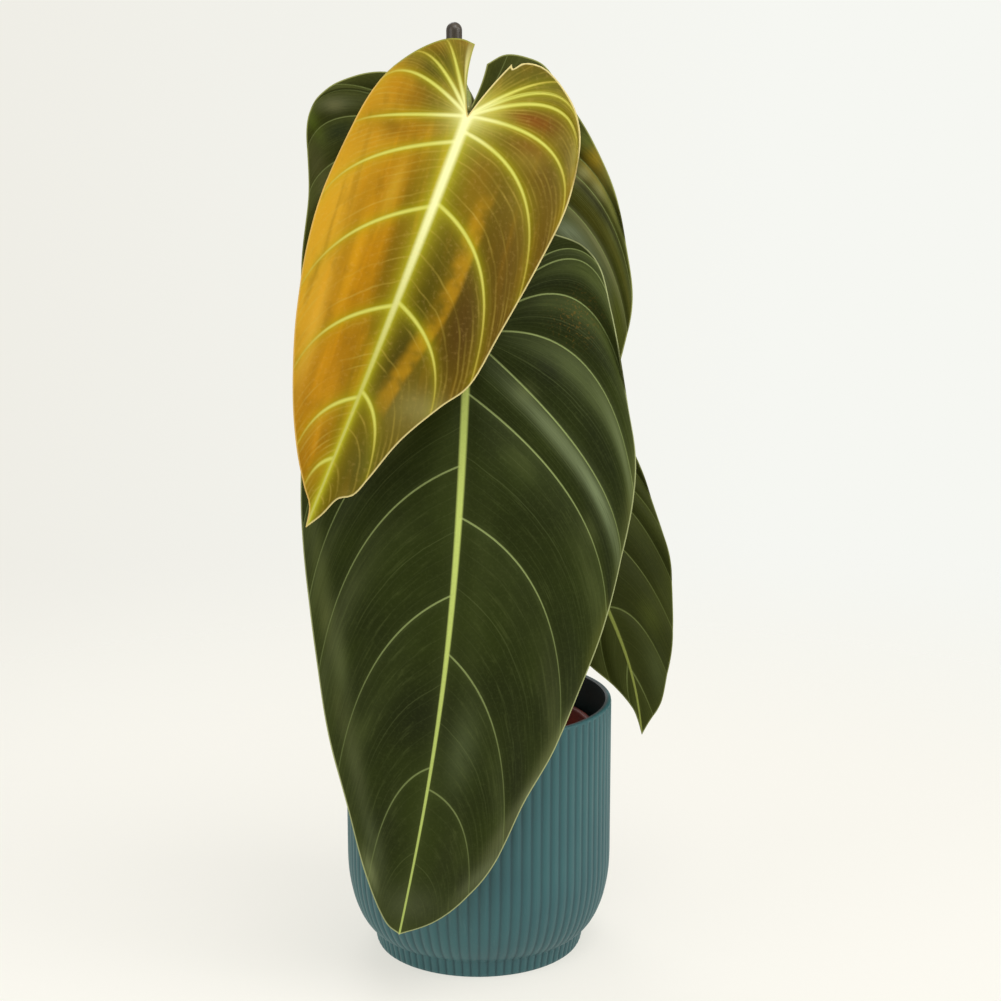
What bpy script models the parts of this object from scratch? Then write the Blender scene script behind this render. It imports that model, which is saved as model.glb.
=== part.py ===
"""Young climbing philodendron with long hanging leaves, staked, in a growing pot inside a ribbed pot.

Metres, +Z up. The origin is the centre of the pot's flat base, and the leaves face -Y.
"""
import math

import bmesh
import bpy
import numpy as np
from mathutils import Vector

MM = 0.001
GAP = 0.0003
SHARP_ANGLE = math.radians(40)

# Ribbed cover pot
POT_RADIUS = 0.070
POT_HEIGHT = 0.134
POT_WALL = 0.0032
POT_FLOOR = 0.0055
CORNER_HEIGHT = 0.050
CORNER_RADIAL = 0.018
CORNER_TALL = 0.042
FOOT_HEIGHT = 0.010
FOOT_TOP_RADIUS = 0.0565
FOOT_BASE_RADIUS = 0.0545
FOOT_BAND = 0.0010
LIP_BAND = 0.0012
RIB_COUNT = 80
RIB_DEPTH = 0.0008

# Growing pot standing in it
NURSERY_RIM_RADIUS = 0.0610
NURSERY_TOP_RADIUS = 0.0585
NURSERY_BASE_RADIUS = 0.0440
NURSERY_RIM_TOP = 0.118
NURSERY_LIP = 0.009
NURSERY_WALL = 0.0014
NURSERY_COLUMNS = 48
DRAIN_COUNT = 6
DRAIN_RADIUS = 0.0050
DRAIN_CIRCLE = 0.030

# Potting mix
SOIL_TOP = 0.106
SOIL_COLUMNS = 36
SOIL_RINGS = 6

# Stake and climbing stem
STAKE_CENTRE = (-0.0112, 0.0)
STAKE_RADIUS = 0.0040
STAKE_FOOT = 0.014
STAKE_TOP = 0.4793
STEM_CENTRE = (0.0012, 0.0)
STEM_FOOT = 0.064
STEM_TOP = 0.338
STEM_BASE_RADIUS = 0.0060
STEM_TOP_RADIUS = 0.0046
NODE_SWELL = 0.0011
NODE_HEIGHTS = (0.118, 0.141, 0.221, 0.291)
TIE_HEIGHTS = {"tie_lower": 0.186, "tie_upper": 0.256}
TIE_WIDTH = 0.0040
TIE_THICKNESS = 0.0009

# Blades: thickness of the thin part and of the middle rib at the stalk
BLADE_THICKNESS = 0.0007
RIB_THICKNESS = 0.0022
HALF_COLUMNS = 6
COLUMN_POWER = 1.4
MARGIN_POINTS = 241

# Rows of a blade's mesh are at least this far apart: millimetres down the rib, and share of the fan
ROW_SPACING = 3.0
FAN_SPACING = 0.04

# The blade's cross-section: width of the flat along the rib, and how veins spread before they turn
RIB_FLAT = 6.0
QUILT_START = 5.0
SPREAD_FIRST = 0.5
SPREAD_MORE = 0.42

# Each outline is in millimetres across and along the blade, from the stalk: from the top of the
# basal lobe round to the tip. turn and roll set the blade, rise and sag bow its middle rib forward,
# fold and curl bend the halves back, quilt and quilt_most lift the panels between the veins, wave
# ripples the margin, sway bends the rib sideways and hollow rounds the two edges of the sinus.
# Each main vein has its start along the rib, its end as a share of the margin and how far it arches.
LEAVES = {
    "leaf_young": {
        "attach": (-4.3, -78.0, 434.7), "length": 194.0, "turn": -6.0, "roll": -20.5,
        "rise": 100.0, "sag": 43.3, "fold": 0.16, "curl": 2.5, "quilt": 0.045, "quilt_most": 1.1,
        "sway": (1.2, 1.0), "wave": (1.2, 5.0, 0.6), "hollow": (0.4, -0.15), "colour": (0.42, 0.27, 0.05),
        "left": [(-10, -31), (-17, -31), (-26, -27), (-37, -16), (-45, -1), (-49, 22), (-50, 52),
                 (-47, 80), (-41, 103), (-31, 133), (-18, 160), (-8, 176), (-2, 184)],
        "right": [(9.5, -28.5), (11, -26.5), (14.5, -31), (24, -32), (36, -26), (46, -17), (53, -3),
                  (57, 22), (55, 50), (50, 85), (46, 110), (37, 124), (26, 143), (19, 163), (15, 173),
                  (9, 177), (5, 186)],
        "left_veins": [(0, 0.04, 0), (0, 0.09, 11), (0, 0.205, 20), (0, 0.285, -3), (12, 0.425, 3),
                       (42, 0.585, 6), (88, 0.725, 6), (131, 0.855, 6), (160, 0.925, 4)],
        "right_veins": [(0, 0.10, 12), (0, 0.22, 36), (0, 0.29, 48), (0, 0.35, 28), (7, 0.495, 28),
                        (40, 0.645, 23), (86, 0.725, 10), (128, 0.875, 12)],
    },
    "leaf_front": {
        "attach": (-4.5, -78.0, 334.2), "length": 294.7, "turn": 3.0, "roll": -6.9,
        "rise": 61.0, "sag": 46.5, "fold": 0.13, "curl": 1.5, "quilt": 0.075, "quilt_most": 2.2,
        "sway": (6.8, 1.15), "wave": (2.2, 6.0, 0.0), "hollow": (0.2, 0.2), "colour": (0.035, 0.055, 0.015),
        "left": [(-26, -41), (-38, -42), (-50, -36), (-62, -24), (-70, -3), (-73, 25), (-72, 60),
                 (-68, 100), (-60, 138), (-51, 176), (-42, 206), (-31, 235), (-19, 267), (-8, 288)],
        "right": [(16, -46), (25, -51), (38, -50), (51, -46), (61, -36), (68, -17), (75, 5),
                  (82, 28), (88, 51), (89, 77), (86, 108), (78, 150), (66, 191), (54, 221),
                  (44, 251), (32, 272), (18, 286)],
        "left_veins": [(0, 0.03, -2), (0, 0.09, 13), (0, 0.24, 38), (0, 0.35, 32), (0, 0.455, 24),
                       (23, 0.54, 18), (60, 0.635, 28), (121, 0.765, 24), (206, 0.915, 22)],
        "right_veins": [(0, 0.07, 15), (0, 0.16, 55), (0, 0.205, 30), (0, 0.325, 6), (0, 0.465, -4),
                        (26, 0.535, 8), (84, 0.685, 30), (149, 0.835, 22), (217, 0.905, 18)],
    },
    "leaf_rear": {
        "attach": (-12.3, -20.0, 424.0), "length": 225.0, "turn": 0.0, "roll": 3.0,
        "rise": 27.0, "sag": 9.5, "fold": 0.13, "curl": 1.5, "quilt": 0.09, "quilt_most": 2.6,
        "sway": (-4.0, 1.0), "wave": (1.6, 6.0, 1.2), "hollow": (0.25, 0.25), "colour": (0.04, 0.06, 0.02),
        "left": [(-18, -28), (-28, -32.5), (-40, -33), (-53, -30), (-61, -26), (-68, -19), (-72, -6),
                 (-73, 25), (-79, 60), (-81, 95), (-78, 125), (-70, 150), (-57, 175), (-38, 197),
                 (-16, 214)],
        "right": [(19, -34), (28, -38), (38, -36.5), (48, -31), (57, -16), (69, 5), (79, 30),
                  (84, 58), (86, 85), (80, 110), (71, 135), (59, 160), (42, 185), (20, 208)],
        "left_veins": [(0, 0.125, 16), (0, 0.175, 32), (0, 0.235, 28), (0, 0.305, 14), (0, 0.445, 6),
                       (25, 0.63, 18), (70, 0.75, 16), (120, 0.86, 14), (170, 0.94, 8)],
        "right_veins": [(0, 0.035, -6), (0, 0.125, 9), (0, 0.21, 16), (0, 0.355, 2), (10, 0.545, 37),
                        (34, 0.63, 16), (75, 0.74, 14), (122, 0.86, 15), (170, 0.93, 8)],
    },
    "leaf_side": {
        "attach": (28.6, 14.0, 268.6), "length": 168.0, "turn": 12.0, "roll": 19.3,
        "rise": 30.0, "sag": 10.0, "fold": 0.12, "curl": 1.5, "quilt": 0.075, "quilt_most": 1.6,
        "sway": (6.5, 2.0), "wave": (1.5, 5.0, 2.0), "hollow": (0.2, 0.2), "colour": (0.05, 0.06, 0.02),
        "left": [(-6, -24), (-13, -26), (-19, -18), (-24, 0), (-27, 23), (-29, 47), (-29, 75),
                 (-25, 100), (-14, 121.5), (-5, 138), (0, 152), (0.5, 161)],
        "right": [(9, -24), (20, -27), (33, -23), (42, -12), (47.5, 5), (50, 35), (49.5, 70),
                  (47, 90), (40, 112), (31, 132), (19, 152), (13, 158.5), (6, 163)],
        "left_veins": [(0, 0.055, -1), (0, 0.155, 7), (0, 0.33, 16), (5, 0.48, 12), (30, 0.60, 10),
                       (60, 0.73, 10), (93, 0.84, 10), (128, 0.92, 0)],
        "right_veins": [(0, 0.055, -1), (0, 0.145, 8), (0, 0.31, 26), (0, 0.45, 18), (6, 0.54, 14),
                        (26, 0.635, 24), (44, 0.755, 18), (96, 0.865, 25), (132, 0.95, 5)],
    },
}

# Stalks, from the stem's side to the back of the blade, in millimetres
PETIOLES = {
    "petiole_young": [(9.2, 0.0, 295.5), (9.6, 0.0, 335.0), (7.0, -0.5, 400.0), (-1.5, -5.0, 437.0),
                      (-7.5, -18.0, 448.5), (-7.5, -42.0, 450.5), (-5.0, -64.0, 445.0),
                      (-4.4, -73.6, 437.0)],
    "petiole_front": [(1.2, -8.5, 144.5), (0.5, -22.0, 162.0), (-1.0, -36.0, 178.0),
                      (-2.5, -54.0, 210.0), (-3.5, -64.0, 260.0), (-4.4, -66.0, 310.0),
                      (-4.5, -69.0, 328.0), (-4.5, -74.2, 333.4)],
    "petiole_rear": [(1.2, -8.4, 225.0), (0.5, -11.0, 262.0), (-2.0, -12.5, 330.0),
                     (-8.0, -11.0, 390.0), (-11.5, -10.5, 415.0), (-12.3, -15.6, 423.0)],
    "petiole_side": [(7.2, 6.4, 121.5), (11.0, 13.0, 160.0), (17.0, 22.0, 215.0),
                     (24.0, 26.0, 252.0), (28.0, 23.0, 266.0), (28.8, 17.8, 268.4)],
}
PETIOLE_BASE_RADIUS = 0.0027
PETIOLE_TOP_RADIUS = 0.0018
PETIOLE_SIDES = 8
PETIOLE_RINGS = 22
AERIAL_ROOTS = [
    [(1.0, 3.0, 222.0), (0.5, 11.0, 219.0), (-0.5, 15.0, 208.0), (0.0, 15.5, 196.0)],
    [(2.0, 3.0, 292.0), (4.0, 10.0, 290.0), (5.5, 13.0, 281.0)],
    [(4.0, -2.0, 142.0), (11.5, -4.0, 139.0), (15.5, -5.0, 128.0), (16.5, -5.0, 116.0)],
]
ROOT_RADIUS = 0.0010


def clear_scene():
    for obj in list(bpy.data.objects):
        bpy.data.objects.remove(obj, do_unlink=True)


def material(name, colour, roughness, metallic=0.0):
    look = bpy.data.materials.new(name)
    look.use_nodes = True
    shader = look.node_tree.nodes["Principled BSDF"]
    shader.inputs["Base Color"].default_value = (*colour, 1.0)
    shader.inputs["Roughness"].default_value = roughness
    shader.inputs["Metallic"].default_value = metallic
    return look


def finish(name, bm, look):
    """Turn a bmesh into a named object with outward faces and its material."""
    bmesh.ops.recalc_face_normals(bm, faces=bm.faces)
    mesh = bpy.data.meshes.new(name)
    bm.to_mesh(mesh)
    bm.free()
    obj = bpy.data.objects.new(name, mesh)
    bpy.context.scene.collection.objects.link(obj)
    mesh.materials.append(look)
    mesh.shade_smooth()
    mesh.set_sharp_from_angle(angle=SHARP_ANGLE)
    return obj


def bridge(bm, lower, upper):
    """Join two rings of equal length with quads."""
    count = len(lower)
    for k in range(count):
        after = (k + 1) % count
        bm.faces.new((lower[k], lower[after], upper[after], upper[k]))


def ring(bm, radius, height, columns, centre=(0.0, 0.0)):
    """One level ring. radius is a number or a function of the column."""
    verts = []
    for k in range(columns):
        angle = 2 * math.pi * k / columns
        r = radius(k) if callable(radius) else radius
        x, y = centre[0] + r * math.cos(angle), centre[1] + r * math.sin(angle)
        verts.append(bm.verts.new((x, y, height)))
    return verts


def turned(name, profile, columns, look, centre=(0.0, 0.0)):
    """A solid turned about a vertical axis, from its underside's edge round to its last edge."""
    bm = bmesh.new()
    rings = [ring(bm, r, z, columns, centre) for r, z in profile]
    for lower, upper in zip(rings, rings[1:]):
        bridge(bm, lower, upper)
    bm.faces.new(rings[0])
    bm.faces.new(rings[-1])
    return finish(name, bm, look)


def cylinder_cutter(name, radius, low, high, centre, sides):
    bm = bmesh.new()
    lower = ring(bm, radius, low, sides, centre)
    upper = ring(bm, radius, high, sides, centre)
    bridge(bm, lower, upper)
    bm.faces.new(lower)
    bm.faces.new(upper)
    bmesh.ops.recalc_face_normals(bm, faces=bm.faces)
    mesh = bpy.data.meshes.new(name)
    bm.to_mesh(mesh)
    bm.free()
    obj = bpy.data.objects.new(name, mesh)
    bpy.context.scene.collection.objects.link(obj)
    obj.hide_render = True
    obj.display_type = "WIRE"
    return obj


def cut(obj, cutter):
    boolean = obj.modifiers.new(cutter.name, "BOOLEAN")
    boolean.operation = "DIFFERENCE"
    boolean.solver = "EXACT"
    boolean.object = cutter


def corner_outline(inset, steps):
    """The pot's rounded lower corner, from the foot up to the straight wall, moved inwards by inset."""
    points = []
    start = math.asin((CORNER_HEIGHT - FOOT_HEIGHT) / CORNER_TALL)
    for i in range(steps + 1):
        angle = start * (1 - i / steps)
        r = POT_RADIUS - CORNER_RADIAL + CORNER_RADIAL * math.cos(angle) - inset
        z = CORNER_HEIGHT - (CORNER_TALL - inset) * math.sin(angle)
        points.append((r, z))
    return points


def ribbed(radius, depth):
    """Radius by column: crests on even columns, valleys on odd ones."""
    return lambda k: radius - (depth if k % 2 else 0.0)


def build_pot():
    bm = bmesh.new()
    columns = 2 * RIB_COUNT
    outside = [(FOOT_BASE_RADIUS, 0.0, 0.0), (FOOT_BASE_RADIUS + 0.0003, FOOT_BAND, 0.0),
               (FOOT_BASE_RADIUS + 0.0006, FOOT_BAND + 0.0008, RIB_DEPTH),
               (FOOT_TOP_RADIUS, FOOT_HEIGHT - 0.0008, RIB_DEPTH)]
    outside += [(r, z, RIB_DEPTH) for r, z in corner_outline(0.0, 4)]
    outside += [(POT_RADIUS, POT_HEIGHT - LIP_BAND - 0.0008, RIB_DEPTH),
                (POT_RADIUS - 0.0002, POT_HEIGHT - LIP_BAND, 0.0),
                (POT_RADIUS - 0.0006, POT_HEIGHT, 0.0)]
    outer = [ring(bm, ribbed(r, depth), z, columns) for r, z, depth in outside]
    for lower, upper in zip(outer, outer[1:]):
        bridge(bm, lower, upper)
    inside = [(POT_RADIUS - POT_WALL, POT_HEIGHT), (POT_RADIUS - POT_WALL, CORNER_HEIGHT)]
    inside += [p for p in reversed(corner_outline(POT_WALL, 3)) if p[1] > POT_FLOOR + 0.004][1:]
    inside += [(FOOT_BASE_RADIUS - POT_WALL, POT_FLOOR)]
    inner = [ring(bm, r, z, RIB_COUNT) for r, z in inside]
    for upper, lower in zip(inner, inner[1:]):
        bridge(bm, upper, lower)
    rim, mouth = outer[-1], inner[0]
    for k in range(RIB_COUNT):
        after = (k + 1) % RIB_COUNT
        bm.faces.new((rim[2 * k], rim[2 * k + 1], mouth[k]))
        bm.faces.new((rim[2 * k + 1], rim[(2 * k + 2) % columns], mouth[after], mouth[k]))
    bm.faces.new(outer[0])
    bm.faces.new(inner[-1])
    return finish("pot", bm, material("teal_pot", (0.045, 0.135, 0.165), 0.45))


def nursery_inner_radius(z):
    """Inside radius of the growing pot's tapered wall."""
    share = (z - POT_FLOOR) / (NURSERY_RIM_TOP - POT_FLOOR)
    return NURSERY_BASE_RADIUS + (NURSERY_TOP_RADIUS - NURSERY_BASE_RADIUS) * share - NURSERY_WALL


def build_nursery_pot():
    floor = POT_FLOOR + GAP
    lip_under = NURSERY_RIM_TOP - NURSERY_LIP
    outer_at_lip = nursery_inner_radius(lip_under) + NURSERY_WALL
    profile = [(NURSERY_BASE_RADIUS, floor), (outer_at_lip, lip_under), (NURSERY_RIM_RADIUS, lip_under),
               (NURSERY_RIM_RADIUS, NURSERY_RIM_TOP - 0.0005),
               (NURSERY_RIM_RADIUS - 0.0006, NURSERY_RIM_TOP),
               (NURSERY_RIM_RADIUS - 0.0030, NURSERY_RIM_TOP),
               (nursery_inner_radius(lip_under), lip_under - 0.002),
               (nursery_inner_radius(floor + NURSERY_WALL), floor + NURSERY_WALL)]
    look = material("terracotta_plastic", (0.22, 0.045, 0.025), 0.5)
    pot = turned("nursery_pot", profile, NURSERY_COLUMNS, look)
    for k in range(DRAIN_COUNT):
        angle = 2 * math.pi * k / DRAIN_COUNT
        centre = (DRAIN_CIRCLE * math.cos(angle), DRAIN_CIRCLE * math.sin(angle))
        hole = cylinder_cutter(f"drain_cutter_{k}", DRAIN_RADIUS, floor - 0.002, floor + 0.004, centre, 12)
        cut(pot, hole)


def soil_height(x, y):
    """Uneven top of the potting mix."""
    ripple = math.sin(310 * x + 1.3) * math.cos(270 * y) + 0.6 * math.sin(520 * y + 410 * x)
    return SOIL_TOP + 0.0011 * ripple


def build_soil():
    bm = bmesh.new()
    low = POT_FLOOR + GAP + NURSERY_WALL + GAP
    wall = nursery_inner_radius(SOIL_TOP) - GAP
    middle = bm.verts.new((0.0, 0.0, soil_height(0.0, 0.0)))
    rings = []
    for i in range(1, SOIL_RINGS + 1):
        verts = ring(bm, wall * i / SOIL_RINGS, 0.0, SOIL_COLUMNS)
        for vert in verts:
            vert.co.z = soil_height(vert.co.x, vert.co.y)
            if i == SOIL_RINGS:
                vert.co.z = SOIL_TOP
        rings.append(verts)
    for k in range(SOIL_COLUMNS):
        bm.faces.new((middle, rings[0][k], rings[0][(k + 1) % SOIL_COLUMNS]))
    for inner, outer in zip(rings, rings[1:]):
        bridge(bm, inner, outer)
    foot = ring(bm, nursery_inner_radius(low) - GAP - 0.0003, low, SOIL_COLUMNS)
    bridge(bm, rings[-1], foot)
    bm.faces.new(foot)
    bmesh.ops.triangulate(bm, faces=[f for f in bm.faces if len(f.verts) == 4])
    soil = finish("soil", bm, material("potting_mix", (0.035, 0.022, 0.014), 0.95))
    stem_hole = cylinder_cutter("stem_hole_cutter", STEM_BASE_RADIUS + 2 * GAP, STEM_FOOT - GAP,
                                SOIL_TOP + 0.02, STEM_CENTRE, 16)
    stake_hole = cylinder_cutter("stake_hole_cutter", STAKE_RADIUS + 2 * GAP, STAKE_FOOT - GAP,
                                 SOIL_TOP + 0.02, STAKE_CENTRE, 16)
    cut(soil, stem_hole)
    cut(soil, stake_hole)


def build_stake():
    profile = [(STAKE_RADIUS - 0.0005, STAKE_FOOT), (STAKE_RADIUS, STAKE_FOOT + 0.0005)]
    for share in (0.0, 0.35, 0.62, 0.85):
        angle = share * math.pi / 2
        profile.append((STAKE_RADIUS * math.cos(angle), STAKE_TOP - STAKE_RADIUS * (1 - math.sin(angle))))
    turned("stake", profile, 16, material("stake_coating", (0.018, 0.014, 0.012), 0.35), STAKE_CENTRE)


def through(points, count):
    """Smooth curve through the points, at count places evenly spaced along it."""
    pts = np.array(points, dtype=float)
    first = 2 * pts[0] - pts[1]
    last = 2 * pts[-1] - pts[-2]
    pts = np.vstack([first, pts, last])
    dense = []
    for i in range(1, len(pts) - 2):
        for step in range(12):
            t = step / 12
            a, b, c, d = pts[i - 1:i + 3]
            dense.append(0.5 * (2 * b + (c - a) * t + (2 * a - 5 * b + 4 * c - d) * t * t
                                + (3 * b - a - 3 * c + d) * t ** 3))
    dense.append(pts[-2])
    dense = np.array(dense)
    run = np.concatenate([[0.0], np.cumsum(np.linalg.norm(np.diff(dense, axis=0), axis=1))])
    places = np.linspace(0.0, run[-1], count)
    return np.stack([np.interp(places, run, dense[:, i]) for i in range(dense.shape[1])], axis=1)


def tube(bm, path, radii, sides):
    """Closed round rod along a path, its rings kept untwisted."""
    side = Vector((1.0, 0.0, 0.0))
    rings = []
    for i, point in enumerate(path):
        before = path[max(i - 1, 0)]
        after = path[min(i + 1, len(path) - 1)]
        along = (Vector(after) - Vector(before)).normalized()
        side = (side - along * side.dot(along)).normalized()
        other = along.cross(side)
        verts = []
        for k in range(sides):
            angle = 2 * math.pi * k / sides
            offset = side * math.cos(angle) + other * math.sin(angle)
            verts.append(bm.verts.new(Vector(point) + offset * radii[i]))
        rings.append(verts)
    for lower, upper in zip(rings, rings[1:]):
        bridge(bm, lower, upper)
    bm.faces.new(rings[0])
    bm.faces.new(rings[-1])


def stem_radius(z):
    """Stem radius by height: a slow taper, a swelling at each node and a rounded tip."""
    share = (z - STEM_FOOT) / (STEM_TOP - STEM_FOOT)
    r = STEM_BASE_RADIUS + (STEM_TOP_RADIUS - STEM_BASE_RADIUS) * share
    for node in NODE_HEIGHTS:
        r += NODE_SWELL * math.exp(-((z - node) / 0.0016) ** 2)
    tip = max(0.0, 1 - (STEM_TOP - z) / 0.018)
    return r * (1 - 0.78 * tip ** 1.6)


def build_stem():
    levels = set(np.round(np.arange(STEM_FOOT, STEM_TOP, 0.016), 4))
    for node in NODE_HEIGHTS:
        levels -= {z for z in levels if abs(z - node) < 0.005}
        levels |= {node - 0.0034, node - 0.0012, node + 0.0012, node + 0.0034}
    levels -= {z for z in levels if z > STEM_TOP - 0.016}
    levels |= {STEM_TOP - 0.014, STEM_TOP - 0.008, STEM_TOP - 0.003, STEM_TOP}
    bm = bmesh.new()
    heights = sorted(levels)
    path = [(STEM_CENTRE[0], STEM_CENTRE[1], z) for z in heights]
    tube(bm, path, [stem_radius(z) for z in heights], 14)
    stem = finish("stem", bm, material("stem_skin", (0.10, 0.13, 0.045), 0.5))
    for i, points in enumerate(AERIAL_ROOTS):
        bm = bmesh.new()
        path = [tuple(p) for p in through(points, 7) * MM]
        tube(bm, path, [ROOT_RADIUS * (1 - 0.08 * k) for k in range(7)], 6)
        bmesh.ops.recalc_face_normals(bm, faces=bm.faces)
        mesh = bpy.data.meshes.new(f"aerial_root_{i}")
        bm.to_mesh(mesh)
        bm.free()
        root = bpy.data.objects.new(f"aerial_root_{i}", mesh)
        bpy.context.scene.collection.objects.link(root)
        root.hide_render = True
        root.display_type = "WIRE"
        join = stem.modifiers.new(root.name, "BOOLEAN")
        join.operation = "UNION"
        join.solver = "EXACT"
        join.object = root


def build_tie(name, height, look):
    """Flat band passed round the stake and the stem."""
    span = STEM_CENTRE[0] - STAKE_CENTRE[0]
    stake_r = STAKE_RADIUS + GAP
    stem_r = stem_radius(height) + GAP
    lean = math.asin((stem_r - stake_r) / span)

    def loop(extra, z):
        verts = []
        for i in range(11):
            angle = math.pi / 2 + lean + (math.pi - 2 * lean) * i / 10
            r = stake_r + extra
            verts.append(bm.verts.new((STAKE_CENTRE[0] + r * math.cos(angle), r * math.sin(angle), z)))
        for i in range(13):
            angle = -math.pi / 2 - lean + (math.pi + 2 * lean) * i / 12
            r = stem_r + extra
            verts.append(bm.verts.new((STEM_CENTRE[0] + r * math.cos(angle), r * math.sin(angle), z)))
        return verts

    bm = bmesh.new()
    low, high = height - TIE_WIDTH / 2, height + TIE_WIDTH / 2
    loops = [loop(0.0, low), loop(TIE_THICKNESS, low), loop(TIE_THICKNESS, high), loop(0.0, high)]
    for i in range(4):
        bridge(bm, loops[i], loops[(i + 1) % 4])
    return finish(name, bm, look)


def build_petiole(name, points, look):
    bm = bmesh.new()
    path = [tuple(p) for p in through(points, PETIOLE_RINGS) * MM]
    last = PETIOLE_RINGS - 1
    radii = [PETIOLE_BASE_RADIUS + (PETIOLE_TOP_RADIUS - PETIOLE_BASE_RADIUS) * i / last
             for i in range(PETIOLE_RINGS)]
    tube(bm, path, radii, PETIOLE_SIDES)
    return finish(name, bm, look)


def blade_axes(leaf):
    """Directions across, along and out of the blade's upper face."""
    turn, roll = math.radians(leaf["turn"]), math.radians(leaf["roll"])
    level = Vector((math.cos(turn), math.sin(turn), 0.0))
    down = Vector((0.0, 0.0, -1.0))
    out = down.cross(level)
    across = level * math.cos(roll) - down * math.sin(roll)
    along = down * math.cos(roll) + level * math.sin(roll)
    return across, along, out


def rib_place(leaf, t):
    """Sideways bend of the middle rib, t along the blade."""
    size, skew = leaf["sway"]
    return size * math.sin(math.pi * min(max(t / leaf["length"], 0.0), 1.0) ** skew)


def half_blade(leaf, name, side):
    """Margin and veins of one half: the veins' starts, ends and arches, sinus edge and tip included."""
    length = leaf["length"]
    margin = through(leaf[name] + [(0.0, length)], MARGIN_POINTS)
    veins = np.array([(0, 0.0, 0)] + leaf[name + "_veins"] + [(length, 1.0, 0)], dtype=float)
    basal = int(np.sum(veins[:, 0] == 0)) - 1
    return {"margin": margin, "veins": veins, "basal": basal, "hollow": leaf["hollow"][side]}


def vein_number(half, row):
    """Which vein a row is on: rows below 0 fan out from the stalk, the rest start row mm down the rib."""
    if row < 0:
        return half["basal"] * (1 + row)
    starts = half["veins"][half["basal"]:, 0]
    return half["basal"] + np.interp(row, starts, range(len(starts)))


def vein_point(leaf, half, k, b):
    """Flat place on vein k, the share b of the way out to the margin, and the vein's end on the margin."""
    numbers = range(len(half["veins"]))
    start_t, share, lift = (np.interp(k, numbers, half["veins"][:, i]) for i in range(3))
    start = np.array([rib_place(leaf, start_t) if start_t > 0 else 0.0, start_t])
    places = np.linspace(0.0, 1.0, len(half["margin"]))
    end = np.array([np.interp(share, places, half["margin"][:, i]) for i in (0, 1)])
    reach = end - start
    spread = SPREAD_FIRST + SPREAD_MORE * (1 - math.exp(-(k / 2) ** 2))
    spread += half["hollow"] * math.exp(-(k / 0.6) ** 2)
    bend = start + np.array([spread * reach[0], 0.5 * reach[1] - lift])
    return (1 - b) ** 2 * start + 2 * b * (1 - b) * bend + b * b * end, share


def panel_width(leaf, half, k, b):
    """Distance between the main veins on either side of k."""
    low = min(math.floor(k), len(half["veins"]) - 2)
    near, _ = vein_point(leaf, half, low, b)
    far, _ = vein_point(leaf, half, low + 1, b)
    return float(np.linalg.norm(far - near))


def blade_height(leaf, half, k, b, place, share):
    """Height of the blade's face over its flat outline, in millimetres."""
    s, t = place
    down = t / leaf["length"]
    off = abs(s - rib_place(leaf, t))
    bow = leaf["rise"] * down - leaf["sag"] * down * down
    fold = leaf["fold"] * (math.hypot(off, RIB_FLAT) - RIB_FLAT)
    curl = leaf["curl"] * MM * off * off
    size, count, shift = leaf["wave"]
    ripple = size * b ** 2.5 * math.sin(2 * math.pi * count * share + shift) * (1 - share ** 4)
    lift = min(leaf["quilt"] * panel_width(leaf, half, k, b), leaf["quilt_most"])
    between = 1 - (2 * (k - math.floor(k)) - 1) ** 2
    quilt = lift * between * (1 - math.exp(-(off / QUILT_START) ** 2)) * (1 - 0.6 * b ** 6)
    return bow - fold - curl + ripple + quilt


def blade_rows(leaf, halves):
    """Rows from the sinus to the tip, on every main vein of either half and between them."""
    firm, middle, quarter = {-1.0, 0.0, leaf["length"]}, set(), set()
    for half in halves:
        basal, starts = half["basal"], half["veins"][half["basal"]:, 0]
        firm |= {i / basal - 1 for i in range(basal)} | set(starts)
        middle |= {(i + 0.5) / basal - 1 for i in range(basal)} | set((starts[1:] + starts[:-1]) / 2)
        quarter |= {(i + share) / basal - 1 for i in range(basal) for share in (0.25, 0.75)}
    rows = []
    for row in sorted(firm) + sorted(middle) + sorted(quarter):
        spacing = FAN_SPACING if row < 0 else ROW_SPACING
        if all(abs(row - other) >= spacing for other in rows if (other < 0) == (row < 0)):
            rows.append(row)
    return sorted(rows)


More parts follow.
